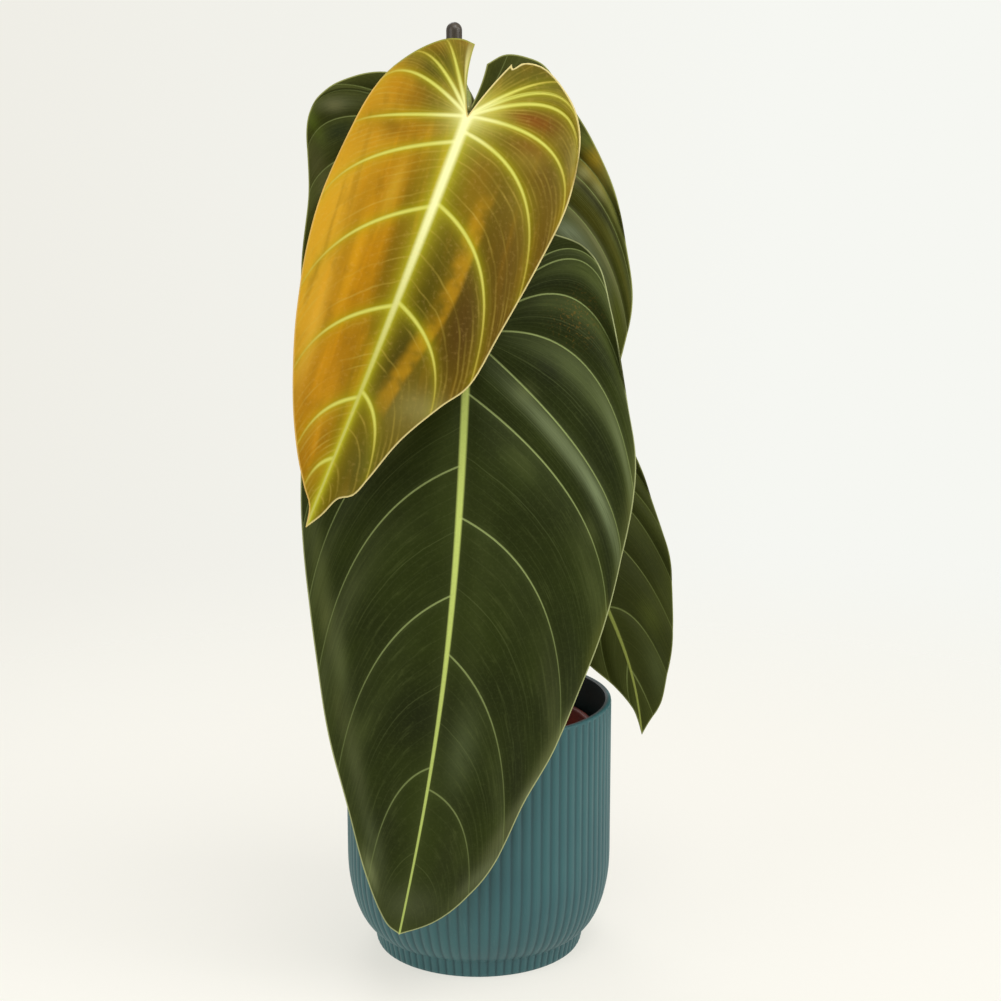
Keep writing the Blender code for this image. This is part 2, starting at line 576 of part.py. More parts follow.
def build_blade(name, leaf):
    across, along, out = blade_axes(leaf)
    attach = Vector(leaf["attach"])
    halves = [half_blade(leaf, "left", 0), half_blade(leaf, "right", 1)]
    rows = blade_rows(leaf, halves)
    bm = bmesh.new()
    bmesh.ops.create_grid(bm, x_segments=2 * HALF_COLUMNS, y_segments=len(rows) - 1, size=1.0)
    thick = {}
    for vert in bm.verts:
        u = vert.co.x
        row = rows[round((vert.co.y + 1) / 2 * (len(rows) - 1))]
        half = halves[0 if u < 0 else 1]
        k, b = vein_number(half, row), abs(u) ** COLUMN_POWER
        place, share = vein_point(leaf, half, k, b)
        height = blade_height(leaf, half, k, b, place, share)
        vert.co = (attach + across * place[0] + along * place[1] + out * height) * MM
        if b < 0.001:
            thick[vert] = 1 - max(row, 0.0) / leaf["length"]
    bmesh.ops.remove_doubles(bm, verts=bm.verts, dist=0.00002)
    bmesh.ops.triangulate(bm, faces=bm.faces, quad_method="SHORT_EDGE")
    bmesh.ops.reverse_faces(bm, faces=bm.faces)
    bm.verts.index_update()
    rib = {vert.index: weight for vert, weight in thick.items() if vert.is_valid}
    mesh = bpy.data.meshes.new(name)
    bm.to_mesh(mesh)
    bm.free()
    obj = bpy.data.objects.new(name, mesh)
    bpy.context.scene.collection.objects.link(obj)
    mesh.materials.append(material(name + "_face", leaf["colour"], 0.55))
    mesh.shade_smooth()
    group = obj.vertex_groups.new(name="middle_rib")
    for index, weight in rib.items():
        group.add([index], weight, "REPLACE")
    solid = obj.modifiers.new("thickness", "SOLIDIFY")
    solid.thickness = RIB_THICKNESS
    solid.offset = -1.0
    solid.use_even_offset = False
    solid.vertex_group = group.name
    solid.thickness_vertex_group = BLADE_THICKNESS / RIB_THICKNESS
    return obj


clear_scene()
build_pot()
build_nursery_pot()
build_soil()
build_stake()
build_stem()
tie_look = material("soft_tie", (0.05, 0.09, 0.04), 0.6)
for tie_name, tie_height in TIE_HEIGHTS.items():
    build_tie(tie_name, tie_height, tie_look)
petiole_look = material("petiole_skin", (0.20, 0.26, 0.07), 0.45)
for petiole_name, petiole_points in PETIOLES.items():
    build_petiole(petiole_name, petiole_points, petiole_look)
for leaf_name, leaf_sizes in LEAVES.items():
    build_blade(leaf_name, leaf_sizes)
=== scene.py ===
import math
import random

import bpy
import numpy as np
from mathutils import Matrix, Vector


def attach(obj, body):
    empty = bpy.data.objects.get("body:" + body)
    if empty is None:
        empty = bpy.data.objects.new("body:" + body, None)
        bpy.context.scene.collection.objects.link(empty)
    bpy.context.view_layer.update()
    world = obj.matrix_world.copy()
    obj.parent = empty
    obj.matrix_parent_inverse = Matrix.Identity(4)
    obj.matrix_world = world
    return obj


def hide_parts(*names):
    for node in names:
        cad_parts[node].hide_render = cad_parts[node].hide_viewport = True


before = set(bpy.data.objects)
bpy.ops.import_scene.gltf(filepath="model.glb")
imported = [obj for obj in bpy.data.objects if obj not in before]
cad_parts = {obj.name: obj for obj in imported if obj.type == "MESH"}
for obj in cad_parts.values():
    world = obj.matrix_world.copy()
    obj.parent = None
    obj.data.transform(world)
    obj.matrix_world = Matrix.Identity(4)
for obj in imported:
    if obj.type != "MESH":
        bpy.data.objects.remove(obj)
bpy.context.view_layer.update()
mm = 0.001
print("frame loaded:", sorted(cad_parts))


# Small helpers for shaping

def selectNothing():
    bpy.ops.object.select_all(action="DESELECT")


def makeActive(piece):
    selectNothing()
    piece.select_set(True)
    bpy.context.view_layer.objects.active = piece


def onWholeMesh(piece, step, **settings):
    # one step of edit mode on all of a piece
    makeActive(piece)
    bpy.ops.object.mode_set(mode="EDIT")
    bpy.ops.mesh.select_all(action="SELECT")
    step(**settings)
    bpy.ops.object.mode_set(mode="OBJECT")


def startGrid(name, columns, rows):
    # a flat grid primitive, and which column and row each of its points is on
    selectNothing()
    bpy.ops.mesh.primitive_grid_add(x_subdivisions=columns, y_subdivisions=rows, size=2)
    piece = bpy.context.object
    piece.name = piece.data.name = name
    flat = readPoints(piece)
    column = np.rint((flat[:, 0] + 1) / 2 * columns).astype(int)
    row = np.rint((flat[:, 1] + 1) / 2 * rows).astype(int)
    return piece, column, row


def readAll(items, key, width=1, kind=np.float32):
    # one value, or width of them, for each point, face or corner
    flat = np.zeros(len(items) * width, kind)
    items.foreach_get(key, flat)
    return flat.reshape(-1, width) if width > 1 else flat


def readPoints(piece):
    return readAll(piece.data.vertices, "co", 3).astype(float)


def writePoints(piece, points):
    piece.data.vertices.foreach_set("co", np.asarray(points, np.float32).ravel())
    piece.data.update()


def writeAttributes(piece, **fields):
    for name, values in fields.items():
        layer = piece.data.attributes.new(name, "FLOAT", "POINT")
        layer.data.foreach_set("value", np.asarray(values, np.float32))


def weldShut(piece):
    # merges the seam and the poles, then turns every face outwards
    onWholeMesh(piece, bpy.ops.mesh.remove_doubles, threshold=0.00002)
    onWholeMesh(piece, bpy.ops.mesh.normals_make_consistent, inside=False)


def applyModifiers(piece):
    makeActive(piece)
    for modifier in list(piece.modifiers):
        bpy.ops.object.modifier_apply(modifier=modifier.name)


def drillHole(piece, middle, radius, tall, sides):
    # cuts an upright round hole; middle is in metres, radius and height in millimetres
    selectNothing()
    bpy.ops.mesh.primitive_cylinder_add(vertices=sides, radius=radius * mm, depth=tall * mm, location=middle)
    drill = bpy.context.object
    hole = piece.modifiers.new("hole", "BOOLEAN")
    hole.operation = "DIFFERENCE"
    hole.object = drill
    applyModifiers(piece)
    bpy.data.objects.remove(drill, do_unlink=True)


def coat(piece, finish):
    piece.data.materials.clear()
    piece.data.materials.append(finish)


def joinInto(piece, others):
    makeActive(piece)
    for other in others:
        other.select_set(True)
    bpy.ops.object.join()


def turnedGrid(name, profile, columns, ribs=None):
    # a closed body of (radius, height) points turned about Z; ribs(angle, row) moves the radius
    piece, column, row = startGrid(name, columns, len(profile) - 1)
    radius, height = np.array(profile, dtype=float)[row].T
    angle = -2 * math.pi * column / columns
    if ribs:
        radius = radius + ribs(angle, row)
    writePoints(piece, np.stack([radius * np.cos(angle), radius * np.sin(angle), height], axis=1) * mm)
    weldShut(piece)
    return piece


def smoothLine(points, count):
    # a smooth curve through the points, at count places evenly spaced along it
    known = np.array(points, dtype=float)
    known = np.vstack([2 * known[0] - known[1], known, 2 * known[-1] - known[-2]])
    steps = 12
    dense = []
    for i in range(1, len(known) - 2):
        a, b, c, d = known[i - 1:i + 3]
        for step in range(steps):
            t = step / steps
            dense.append(0.5 * (2 * b + (c - a) * t + (2 * a - 5 * b + 4 * c - d) * t * t
                                + (3 * b - a - 3 * c + d) * t ** 3))
    dense = np.array(dense + [known[-2]])
    run = lengthAlong(dense)
    places = np.linspace(0.0, run[-1], count)
    return np.stack([np.interp(places, run, dense[:, i]) for i in range(dense.shape[1])], axis=1)


def lengthAlong(path):
    return np.concatenate([[0.0], np.cumsum(np.linalg.norm(np.diff(path, axis=0), axis=1))])


def limb(name, path, radius, columns):
    # a rod along a path of points, closed at both ends; radius(share, angle) is in millimetres
    rows = len(path) - 1
    piece, column, row = startGrid(name, columns, rows)
    side = np.array([1.0, 0.0, 0.0])
    sides, others = [], []
    for i in range(rows + 1):
        ahead = path[min(i + 1, rows)] - path[max(i - 1, 0)]
        ahead = ahead / np.linalg.norm(ahead)
        side = side - ahead * side.dot(ahead)
        side = side / np.linalg.norm(side)
        sides.append(side)
        others.append(np.cross(ahead, side))
    angle = 2 * math.pi * column / columns
    run = lengthAlong(path)
    size = radius(run[row] / run[-1], angle)
    size = np.where((row == 0) | (row == rows), 0.0, size)
    around = np.cos(angle)[:, None] * np.array(sides)[row] + np.sin(angle)[:, None] * np.array(others)[row]
    writePoints(piece, (path[row] + around * size[:, None]) * mm)
    writeAttributes(piece, along=run[row])
    weldShut(piece)
    return piece


def bell(distance, width):
    # 1 at no distance, falling off softly on both sides
    return np.exp(-(distance / width) ** 2)


def replaceNode(piece, smooth, slot, *nodes):
    makeActive(piece)
    bpy.ops.object.shade_smooth_by_angle(angle=math.radians(smooth))
    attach(piece, "root")
    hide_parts(*nodes)
    print("made", piece.name, len(piece.data.polygons), "faces")


# Small helpers for node materials

def paint(red, green, blue):
    # a colour given as 0 to 255 on screen, as the linear values that a shader takes
    shares = (red / 255, green / 255, blue / 255)
    return tuple(((c + 0.055) / 1.055) ** 2.4 if c > 0.0404 else c / 12.92 for c in shares)


class Nodes:
    # a node tree; each method adds a node and gives back the socket to use next
    def __init__(self, tree):
        self.tree = tree

    def add(self, kind, **settings):
        node = self.tree.nodes.new(kind)
        for key, value in settings.items():
            setattr(node, key, value)
        return node

    def put(self, socket, value):
        # value is a number, a linear colour or another socket
        if isinstance(value, bpy.types.NodeSocket):
            self.tree.links.new(value, socket)
        else:
            socket.default_value = (*value, 1.0) if socket.type == "RGBA" else value

    def feed(self, node, *values, **named):
        # fills the first sockets in order and others by name
        for socket, value in zip(node.inputs, values):
            self.put(socket, value)
        for name, value in named.items():
            self.put(node.inputs[name.replace("_", " ")], value)
        return node.outputs[0] if node.outputs else None

    def xyz(self, vector):
        node = self.add("ShaderNodeSeparateXYZ")
        self.feed(node, vector)
        return node.outputs[:3]

    def vector(self, x, y, z=0.0):
        return self.feed(self.add("ShaderNodeCombineXYZ"), x, y, z)

    def math(self, operation, *values):
        return self.feed(self.add("ShaderNodeMath", operation=operation), *values)

    def times(self, product, *values):
        for value in values:
            product = self.math("MULTIPLY", product, value)
        return product

    def plus(self, total, *values):
        for value in values:
            total = self.math("ADD", total, value)
        return total

    def ramp(self, value, low, high, start=0.0, end=1.0, easing="SMOOTHSTEP"):
        # eases from start at low to end at high
        node = self.add("ShaderNodeMapRange", interpolation_type=easing)
        return self.feed(node, value, low, high, start, end)

    def fade(self, distance, reach):
        # 1 on a line and falling off with the distance from it
        return self.math("POWER", math.exp(-1), self.math("DIVIDE", distance, reach))

    def hump(self, value, centre, width):
        # a soft band round centre
        off = self.math("DIVIDE", self.math("SUBTRACT", value, centre), width)
        return self.math("POWER", math.exp(-1), self.math("MULTIPLY", off, off))

    def mix(self, share, *colours):
        # colours are sockets, or 0 to 255 as on screen
        node = self.add("ShaderNodeMix", data_type="RGBA")
        self.feed(node, Factor=share)
        for socket, colour in zip(node.inputs[6:8], colours):
            self.put(socket, paint(*colour) if isinstance(colour, tuple) else colour)
        return node.outputs[2]

    def either(self, share, first, second):
        return self.feed(self.add("ShaderNodeMixShader"), share, first.outputs[0], second.outputs[0])


class Finish(Nodes):
    # a material, with tone as its colour so far
    def __init__(self, name):
        self.material = bpy.data.materials.new(name)
        self.material.use_nodes = True
        super().__init__(self.material.node_tree)
        self.shader = self.tree.nodes["Principled BSDF"]
        self.place = self.add("ShaderNodeTexCoord").outputs["Object"]

    def attribute(self, name):
        return self.add("ShaderNodeAttribute", attribute_name=name).outputs["Fac"]

    def noise(self, scale, detail=3.0, roughness=0.5, at=None):
        return self.feed(self.add("ShaderNodeTexNoise"), Vector=at or self.place, Scale=scale, Detail=detail,
                         Roughness=roughness)

    def drawn(self, across, along, detail):
        # noise drawn out along Z
        x, y, z = self.xyz(self.place)
        place = self.vector(self.times(x, across), self.times(y, across), self.times(z, along))
        return self.noise(1.0, detail, at=place)

    def cells(self, scale):
        return self.feed(self.add("ShaderNodeTexVoronoi"), Vector=self.place, Scale=scale)

    def start(self, pattern, low, high, *colours):
        self.tone = self.mix(self.ramp(pattern, low, high), *colours)

    def over(self, colour, *shares):
        # lays a colour over the tone so far, as strong as the product of the shares
        self.tone = self.mix(self.times(*shares), self.tone, colour)

    def done(self, rough, height, depth, strength, **more):
        # sets the bump and the surface, and gives back the material
        normal = self.feed(self.add("ShaderNodeBump"), Height=height, Distance=depth, Strength=strength)
        self.feed(self.shader, Normal=normal, Base_Color=self.tone, Roughness=rough, **more)
        return self.material


def mottledPaint(name, light, dark, scale, low=0.3, rough=0.9, depth=0.0004, strength=0.8):
    look = Finish(name)
    cloud = look.noise(scale, 4.0)
    look.start(cloud, low, 0.7, light, dark)
    return look.done(rough, cloud, depth, strength)


# Camera, light and floor

camera = {
    "place": (0.0, -0.9916, 0.4438),
    "downTilt": 11.67,      # degrees
    "rightTurn": 0.67,
    "lens": 70.49,
    "sensor": 36.0,
}
lights = {      # place, size, power and tint
    "window": ((1.35, -0.65, 0.95), 1.0, 10.0, (1.0, 0.985, 0.95)),
    "ceiling": ((0.30, -0.75, 1.65), 1.1, 12.0, (1.0, 0.99, 0.97)),
    "bounce": ((-1.4, -1.0, 0.7), 1.3, 8.0, (1.0, 0.97, 0.91)),
    "rim": ((-0.4, 1.4, 1.5), 1.0, 6.0, (0.97, 0.99, 1.0)),
}
room = {
    "skyHigh": 0.56,                     # how bright the surroundings are from above
    "skyLow": 0.42,                      # and from the sides
    "skyTint": (1.0, 0.99, 0.965),
    "wallLeft": (238, 236, 228),         # what the camera sees behind the plant; its left side is painted darker as shade
    "wallRight": (246, 247, 242),
    "aim": (0.0, 0.0, 0.24),             # where the lights point
}
floor = {
    "radius": 4.0, "clear": 0.30, "gone": 1.0, "under": -0.0001,
    "colour": (243, 241, 233), "fleck": (235, 231, 224),
    "lit": 0.33, "glow": 0.70,           # shares of light and of own glow, so that shadows stay faint
}


def intoScene(name, data):
    holder = bpy.data.objects.new(name, data)
    bpy.context.scene.collection.objects.link(holder)
    return holder


def setCamera():
    view = bpy.data.cameras.new("photoView")
    view.lens = camera["lens"]
    view.sensor_width = camera["sensor"]
    holder = intoScene("photoView", view)
    holder.location = camera["place"]
    holder.rotation_euler = (math.radians(90 - camera["downTilt"]), 0.0, -math.radians(camera["rightTurn"]))
    bpy.context.scene.camera = holder


def setLight(name):
    lamp = bpy.data.lights.new(name, "AREA")
    lamp.shape = "DISK"
    holder = intoScene(name, lamp)
    holder.location, lamp.size, lamp.energy, lamp.color = lights[name]
    aim = Vector(room["aim"]) - holder.location
    holder.rotation_euler = aim.to_track_quat("-Z", "Y").to_euler()


def setRoom():
    world = bpy.data.worlds.new("room")
    bpy.context.scene.world = world
    world.use_nodes = True
    look = Nodes(world.node_tree)
    x, y, z = look.xyz(look.add("ShaderNodeTexCoord").outputs["Generated"])
    seen, lit = look.tree.nodes["Background"], look.add("ShaderNodeBackground")
    # the backdrop, painted darker on the left as shade
    wall = look.mix(look.ramp(x, -0.3, 0.15, easing="LINEAR"), room["wallLeft"], room["wallRight"])
    look.feed(seen, Color=wall)
    look.feed(lit, Color=room["skyTint"],
              Strength=look.ramp(z, 0.0, 0.9, room["skyLow"], room["skyHigh"], easing="LINEAR"))
    toCamera = look.add("ShaderNodeLightPath").outputs["Is Camera Ray"]
    look.feed(look.tree.nodes["World Output"], Surface=look.either(toCamera, lit, seen))


def makeFloor():
    bpy.ops.mesh.primitive_circle_add(vertices=128, radius=floor["radius"], fill_type="NGON",
                                      location=(0.0, 0.0, floor["under"]))
    ground = bpy.context.object
    ground.name = "paleFloor"
    look = Finish("paleFloorPaint")
    x, y, z = look.xyz(look.place)
    away = look.math("SQRT", look.plus(look.times(x, x), look.times(y, y)))
    tint = look.mix(look.times(look.noise(220.0, 2.0), 0.06), floor["colour"], floor["fleck"])
    look.feed(look.shader, Base_Color=look.mix(floor["lit"], (0, 0, 0), tint), Roughness=0.6,
              Specular_IOR_Level=0.2, Emission_Color=tint, Emission_Strength=floor["glow"])
    fading = look.ramp(away, floor["clear"], floor["gone"])
    shown = look.either(fading, look.shader, look.add("ShaderNodeBsdfTransparent"))
    look.feed(look.tree.nodes["Material Output"], Surface=shown)
    coat(ground, look.material)


bpy.context.scene.view_settings.view_transform = "Standard"
setCamera()
for lightName in lights:
    setLight(lightName)
setRoom()
makeFloor()
print("camera, lights and floor set")


# Ribbed cover pot

coverPot = {
    "radius": 70.0, "height": 134.0, "wall": 3.2, "floor": 5.5,
    "cornerHeight": 50.0, "cornerRadial": 18.0, "cornerTall": 42.0,
    "footHeight": 10.0, "footTop": 56.5, "footBase": 54.5, "footBand": 1.0, "lipBand": 1.2,
    "ribs": 80, "ribDepth": 0.8, "ribRound": 1.8, "columnsPerRib": 8,
    # inside is painted shade for the pot's inner wall
    "colour": (44, 95, 98), "shade": (38, 87, 92), "inside": (28, 40, 40),
    # groove is painted shade laid in the flutes between the ribs
    "groove": (34, 64, 70), "worn": (104, 138, 138),
}


def cornerOutline(inset, steps):
    p = coverPot
    first = math.asin((p["cornerHeight"] - p["footHeight"]) / p["cornerTall"])
    points = []
    for i in range(steps + 1):
        angle = first * (1 - i / steps)
        points.append((p["radius"] - p["cornerRadial"] + p["cornerRadial"] * math.cos(angle) - inset,
                       p["cornerHeight"] - (p["cornerTall"] - inset) * math.sin(angle)))
    return points


def potPaint():
    p = coverPot
    look = Finish("tealPotGlaze")
    groove = look.attribute("groove")
    cloud = look.noise(14.0)
    speck = look.noise(900.0, 2.0)
    drawn = look.drawn(900.0, 18.0, 2.0)
    look.start(cloud, 0.35, 0.7, p["colour"], p["shade"])
    # painted shade in the flutes between the ribs
    look.over(p["groove"], look.ramp(groove, 0.25, 1.0), 0.65)
    look.over(p["worn"], look.ramp(drawn, 0.55, 0.8), 0.10)
    # painted shade over the inner wall
    look.over(p["inside"], look.attribute("inside"))
    rough = look.plus(0.36, look.times(cloud, 0.14), look.times(groove, 0.12))
    return look.done(rough, look.plus(look.times(speck, 0.5), look.times(drawn, 0.5)), 0.00005, 0.5)


def makeCoverPot():
    p = coverPot
    outer, wall, top, foot, band, bottom = (p[key] for key in
                                            ("radius", "wall", "height", "footBase", "footBand", "floor"))
    inner, low = outer - wall, foot - wall
    profile = [(0.0, 0.0), (foot * 0.5, 0.0), (foot - 1.0, 0.0), (foot - 0.3, 0.08), (foot, 0.5),
               (foot + 0.3, band)]
    firstRib = len(profile) - 2
    profile += list(smoothLine([(foot + 0.6, band + 0.8), (foot + 1.0, band + 3.0),
                                (p["footTop"] - 0.2, p["footHeight"] - 2.4),
                                (p["footTop"], p["footHeight"] - 0.8)], 9))
    profile += cornerOutline(0.0, 26)
    profile += [(outer, z) for z in np.linspace(p["cornerHeight"], top - p["lipBand"] - 0.6, 14)[1:]]
    lastRib = len(profile)
    profile += [(outer - 0.2, top - p["lipBand"]), (outer - 0.25, top - 0.5), (outer - 0.6, top - 0.1),
                (outer - 1.1, top), (inner + 0.7, top), (inner + 0.1, top - 0.2), (inner, top - 0.8)]
    profile += [(inner, z) for z in np.linspace(top - 4, p["cornerHeight"], 10)]
    profile += [point for point in reversed(cornerOutline(wall, 14)) if point[1] > bottom + 4][1:]
    profile += [(low + 0.2, bottom + 1.0), (low - 0.8, bottom + 0.1), (low - 2, bottom), (low * 0.5, bottom),
                (0.0, bottom)]
    depth = np.zeros(len(profile))
    depth[firstRib:lastRib] = p["ribDepth"]
    depth[firstRib:firstRib + 2] *= (0.45, 0.8)      # the ribs run out at the foot's edge

    def groove(angle):
        # 0 on the crest of a rib, 1 between two ribs
        return np.abs(2 * ((angle * p["ribs"] / (2 * math.pi)) % 1.0) - 1) ** p["ribRound"]

    piece = turnedGrid("coverPot", profile, p["ribs"] * p["columnsPerRib"],
                       lambda angle, row: -depth[row] * groove(angle))
    x, y, z = readPoints(piece).T / mm
    away = np.hypot(x, y)
    shell = np.array(profile[:lastRib])
    shell = shell[np.argsort(shell[:, 1])]
    skin = np.interp(z, shell[:, 1], shell[:, 0])
    onRibs = (away > skin - 1.2) & (z < top - 1.4)
    # groove marks the flutes, for roughness and painted shade; inside marks the inner wall, for painted shade
    writeAttributes(piece, groove=groove(np.arctan2(y, x)) * onRibs, inside=(away < skin - 2.4) & (z > 4.0))
    coat(piece, potPaint())
    replaceNode(piece, 55, "teal_pot", "pot")


makeCoverPot()


# Growing pot inside it

nurseryPot = {
    "rimRadius": 61.0, "topRadius": 58.5, "baseRadius": 44.0, "rimTop": 118.0, "lip": 9.0, "wall": 1.4,
    "floor": 5.8, "taperFoot": 5.5, "drains": 6, "drainRadius": 5.0, "drainCircle": 30.0,
    "colour": (126, 38, 18), "shade": (86, 30, 18), "dust": (60, 42, 30),
}


def nurseryInside(z):
    p = nurseryPot
    share = (z - p["taperFoot"]) / (p["rimTop"] - p["taperFoot"])
    return p["baseRadius"] + (p["topRadius"] - p["baseRadius"]) * share - p["wall"]


def nurseryPaint():
    p = nurseryPot
    look = Finish("terracottaPlastic")
    dust = look.noise(380.0)
    look.start(look.noise(45.0, 4.0), 0.3, 0.75, p["colour"], p["shade"])
    look.over(p["dust"], look.ramp(dust, 0.6, 0.8), 0.35)
    return look.done(look.plus(0.4, look.times(dust, 0.25)), dust, 0.0001, 0.4)


def makeNurseryPot():
    p = nurseryPot
    rim, top, base, bottom, wall = p["rimRadius"], p["rimTop"], p["baseRadius"], p["floor"], p["wall"]
    under = top - p["lip"]
    profile = [(0.0, bottom), (base - 6, bottom), (base - 1, bottom), (base, bottom + 0.8)]
    profile += [(nurseryInside(z) + wall, z) for z in np.linspace(bottom + 8, under - 1, 12)]
    profile += [(nurseryInside(under) + wall, under), (rim - 0.4, under), (rim, under + 0.4),
                (rim, under + 4), (rim, top - 0.7), (rim - 0.2, top - 0.2), (rim - 0.7, top),
                (rim - 2.6, top), (rim - 3.1, top - 0.3), (rim - 3.3, top - 1.0),
                (nurseryInside(under), under - 2.0)]
    profile += [(nurseryInside(z), z) for z in np.linspace(under - 12, bottom + wall + 1, 10)]
    profile += [(base - wall - 1, bottom + wall), (p["drainCircle"], bottom + wall), (0.0, bottom + wall)]
    piece = turnedGrid("growingPot", profile, 144)
    for k in range(p["drains"]):
        angle = 2 * math.pi * k / p["drains"]
        middle = Vector((p["drainCircle"] * math.cos(angle), p["drainCircle"] * math.sin(angle), bottom)) * mm
        drillHole(piece, middle, p["drainRadius"], 12, 32)
    coat(piece, nurseryPaint())
    replaceNode(piece, 45, "terracotta_plastic", "nursery_pot")


makeNurseryPot()


# Stake and climbing stem

plantStake = {
    "centre": (-11.2, 0.0), "radius": 4.0, "foot": 14.0, "top": 479.3,
    "colour": (72, 64, 52), "shade": (38, 32, 28),
}
climbingStem = {
    "centre": (1.2, 0.0), "foot": 64.0, "top": 338.0, "baseRadius": 6.0, "topRadius": 4.6,
    "swell": 1.1, "nodes": (118.0, 141.0, 221.0, 291.0),
    "green": (98, 108, 50), "darkGreen": (74, 86, 38), "brown": (96, 74, 44), "fleck": (150, 150, 96),
    "scar": (92, 66, 40), "oldSkin": (90, 72, 46),
}
aerialRoots = {
    "radius": 1.0, "colour": (126, 98, 64), "shade": (84, 64, 42),
    "paths": [
        [(1.0, 3.0, 222.0), (0.5, 11.0, 219.0), (-0.5, 15.0, 208.0), (0.0, 15.5, 196.0)],
        [(2.0, 3.0, 292.0), (4.0, 10.0, 290.0), (5.5, 13.0, 281.0)],
        [(4.0, -2.0, 142.0), (11.5, -4.0, 139.0), (15.5, -5.0, 128.0), (16.5, -5.0, 116.0)],
    ],
}


def upright(centre, heights):
    return np.array([(*centre, z) for z in heights])


def stakePaint():
    look = Finish("stakeCoating")
    streak = look.drawn(500.0, 25.0, 3.0)
    speck = look.noise(1500.0, 2.0)
    look.start(streak, 0.35, 0.7, plantStake["colour"], plantStake["shade"])
    return look.done(look.plus(0.28, look.times(speck, 0.14)), look.plus(streak, speck), 0.00008, 0.5)


def makeStake():
    foot, top, size = (plantStake[key] for key in ("foot", "top", "radius"))
    heights = [foot, foot + 0.01, foot + 0.5] + list(np.arange(foot + 1, top - size, 3.0))
    heights += [top - size + size * math.sin(a) for a in np.linspace(0, math.pi / 2, 9)]

    def radius(share, angle):
        z = foot + share * (top - foot)
        cap = np.clip((z - (top - size)) / size, 0.0, 1.0)
        chamfer = np.clip(1 - (z - foot) / 0.5, 0.0, 1.0)
        nubs = 0.05 * np.sin(z * 0.9 + 3 * angle) ** 8 * (cap < 0.05)
        seam = 0.04 * bell(np.cos(angle / 2), 0.03)
        return (size - 0.08) * np.sqrt(np.maximum(1 - cap ** 2, 0.0)) - 0.5 * chamfer + nubs + seam

    piece = limb("plantStake", upright(plantStake["centre"], heights), radius, 40)
    coat(piece, stakePaint())
    replaceNode(piece, 60, "stake_coating", "stake")


def stemRadius(z):
    p = climbingStem
    share = (z - p["foot"]) / (p["top"] - p["foot"])
    size = p["baseRadius"] + (p["topRadius"] - p["baseRadius"]) * share
    size = size + sum(p["swell"] * bell(z - node, 1.6) for node in p["nodes"])
    tip = np.maximum(0.0, 1 - (p["top"] - z) / 18.0)
    return size * (1 - 0.78 * tip ** 1.6)


def stemPaint():
    p = climbingStem
    look = Finish("stemSkin")
    streak = look.drawn(420.0, 40.0, 4.0)
    fleck = look.noise(700.0)
    look.start(streak, 0.35, 0.7, p["green"], p["darkGreen"])
    look.over(p["brown"], look.ramp(look.noise(60.0), 0.5, 0.72), 0.6)
    look.over(p["fleck"], look.ramp(fleck, 0.62, 0.72), 0.5)
    look.over(p["scar"], look.attribute("scar"), 0.9)
    look.over(p["oldSkin"], look.ramp(look.xyz(look.place)[2], 0.150, 0.110), 0.5)
    return look.done(0.5, look.plus(streak, look.times(fleck, 0.6)), 0.0003, 0.6)


def makeStem():
    p = climbingStem
    heights = [p["foot"] - 0.01, *np.linspace(p["foot"], p["top"], 236), p["top"] + 0.01]
    length = heights[-1] - heights[0]

    def radius(share, angle):
        z = p["foot"] + share * length
        ridges = 0.12 * np.sin(5 * angle + 0.02 * z) + 0.07 * np.sin(9 * angle - 0.05 * z)
        rings = sum(0.22 * bell(z - node - shift, 0.5) for node in p["nodes"] for shift in (-2.6, 2.4))
        return stemRadius(np.clip(z, p["foot"], p["top"])) + ridges + rings

    def rootRadius(share, angle):
        return aerialRoots["radius"] - 0.45 * share ** 3 + 0.07 * np.sin(40 * share + angle)

    piece = limb("climbingStem", upright(p["centre"], heights), radius, 40)
    z = readPoints(piece)[:, 2] / mm
    writeAttributes(piece, scar=np.clip(sum(bell(z - node, 3.2) for node in p["nodes"]), 0.0, 1.0))
    coat(piece, stemPaint())
    skin = mottledPaint("aerialRootSkin", aerialRoots["colour"], aerialRoots["shade"], 260.0,
                        low=0.35, rough=0.75, depth=0.0003, strength=0.6)
    roots = [limb(f"aerialRoot{i}", smoothLine(path, 34), rootRadius, 12)
             for i, path in enumerate(aerialRoots["paths"])]
    for root in roots:
        coat(root, skin)
    joinInto(piece, roots)
    replaceNode(piece, 60, "stem_skin", "stem")


makeStake()
makeStem()


# Soft ties round the stake and the stem

softTie = {"colour": (66, 88, 52), "shade": (50, 70, 42)}


def tiePaint():
    look = Finish("softTieRubber")
    speck = look.noise(1100.0)
    look.start(look.noise(120.0), 0.35, 0.7, softTie["colour"], softTie["shade"])
    return look.done(look.plus(0.5, look.times(speck, 0.2)), speck, 0.0001, 0.5)


tieFinish = tiePaint()
for tieName in ("tie_lower", "tie_upper"):
    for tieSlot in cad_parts[tieName].material_slots:
        tieSlot.material = tieFinish


# Potting mix

pottingMix = {
    "top": 106.0, "low": 7.5, "columns": 180, "rings": 60, "seed": 7,
    "dark": (42, 32, 24), "brown": (70, 52, 36), "crumb": (112, 88, 60),
    "bits": [   # kind, how many, size, how dented, material, light and dark colour, scale of its mottling
        ("bark", 230, (2.6, 1.5, 0.9), 0.6, "barkChip", (122, 82, 50), (70, 46, 30), 400.0),
        ("perlite", 90, (1.1, 1.0, 0.8), 0.5, "perliteGrain", (226, 222, 210), (190, 184, 168), 900.0),
        ("fibre", 60, (3.8, 0.25, 0.22), 0.2, "coirFibre", (134, 96, 58), (92, 64, 40), 500.0),
    ],
    "clearance": {"stem": 11.0, "stake": 8.5},      # no bits nearer to their centres than this
}


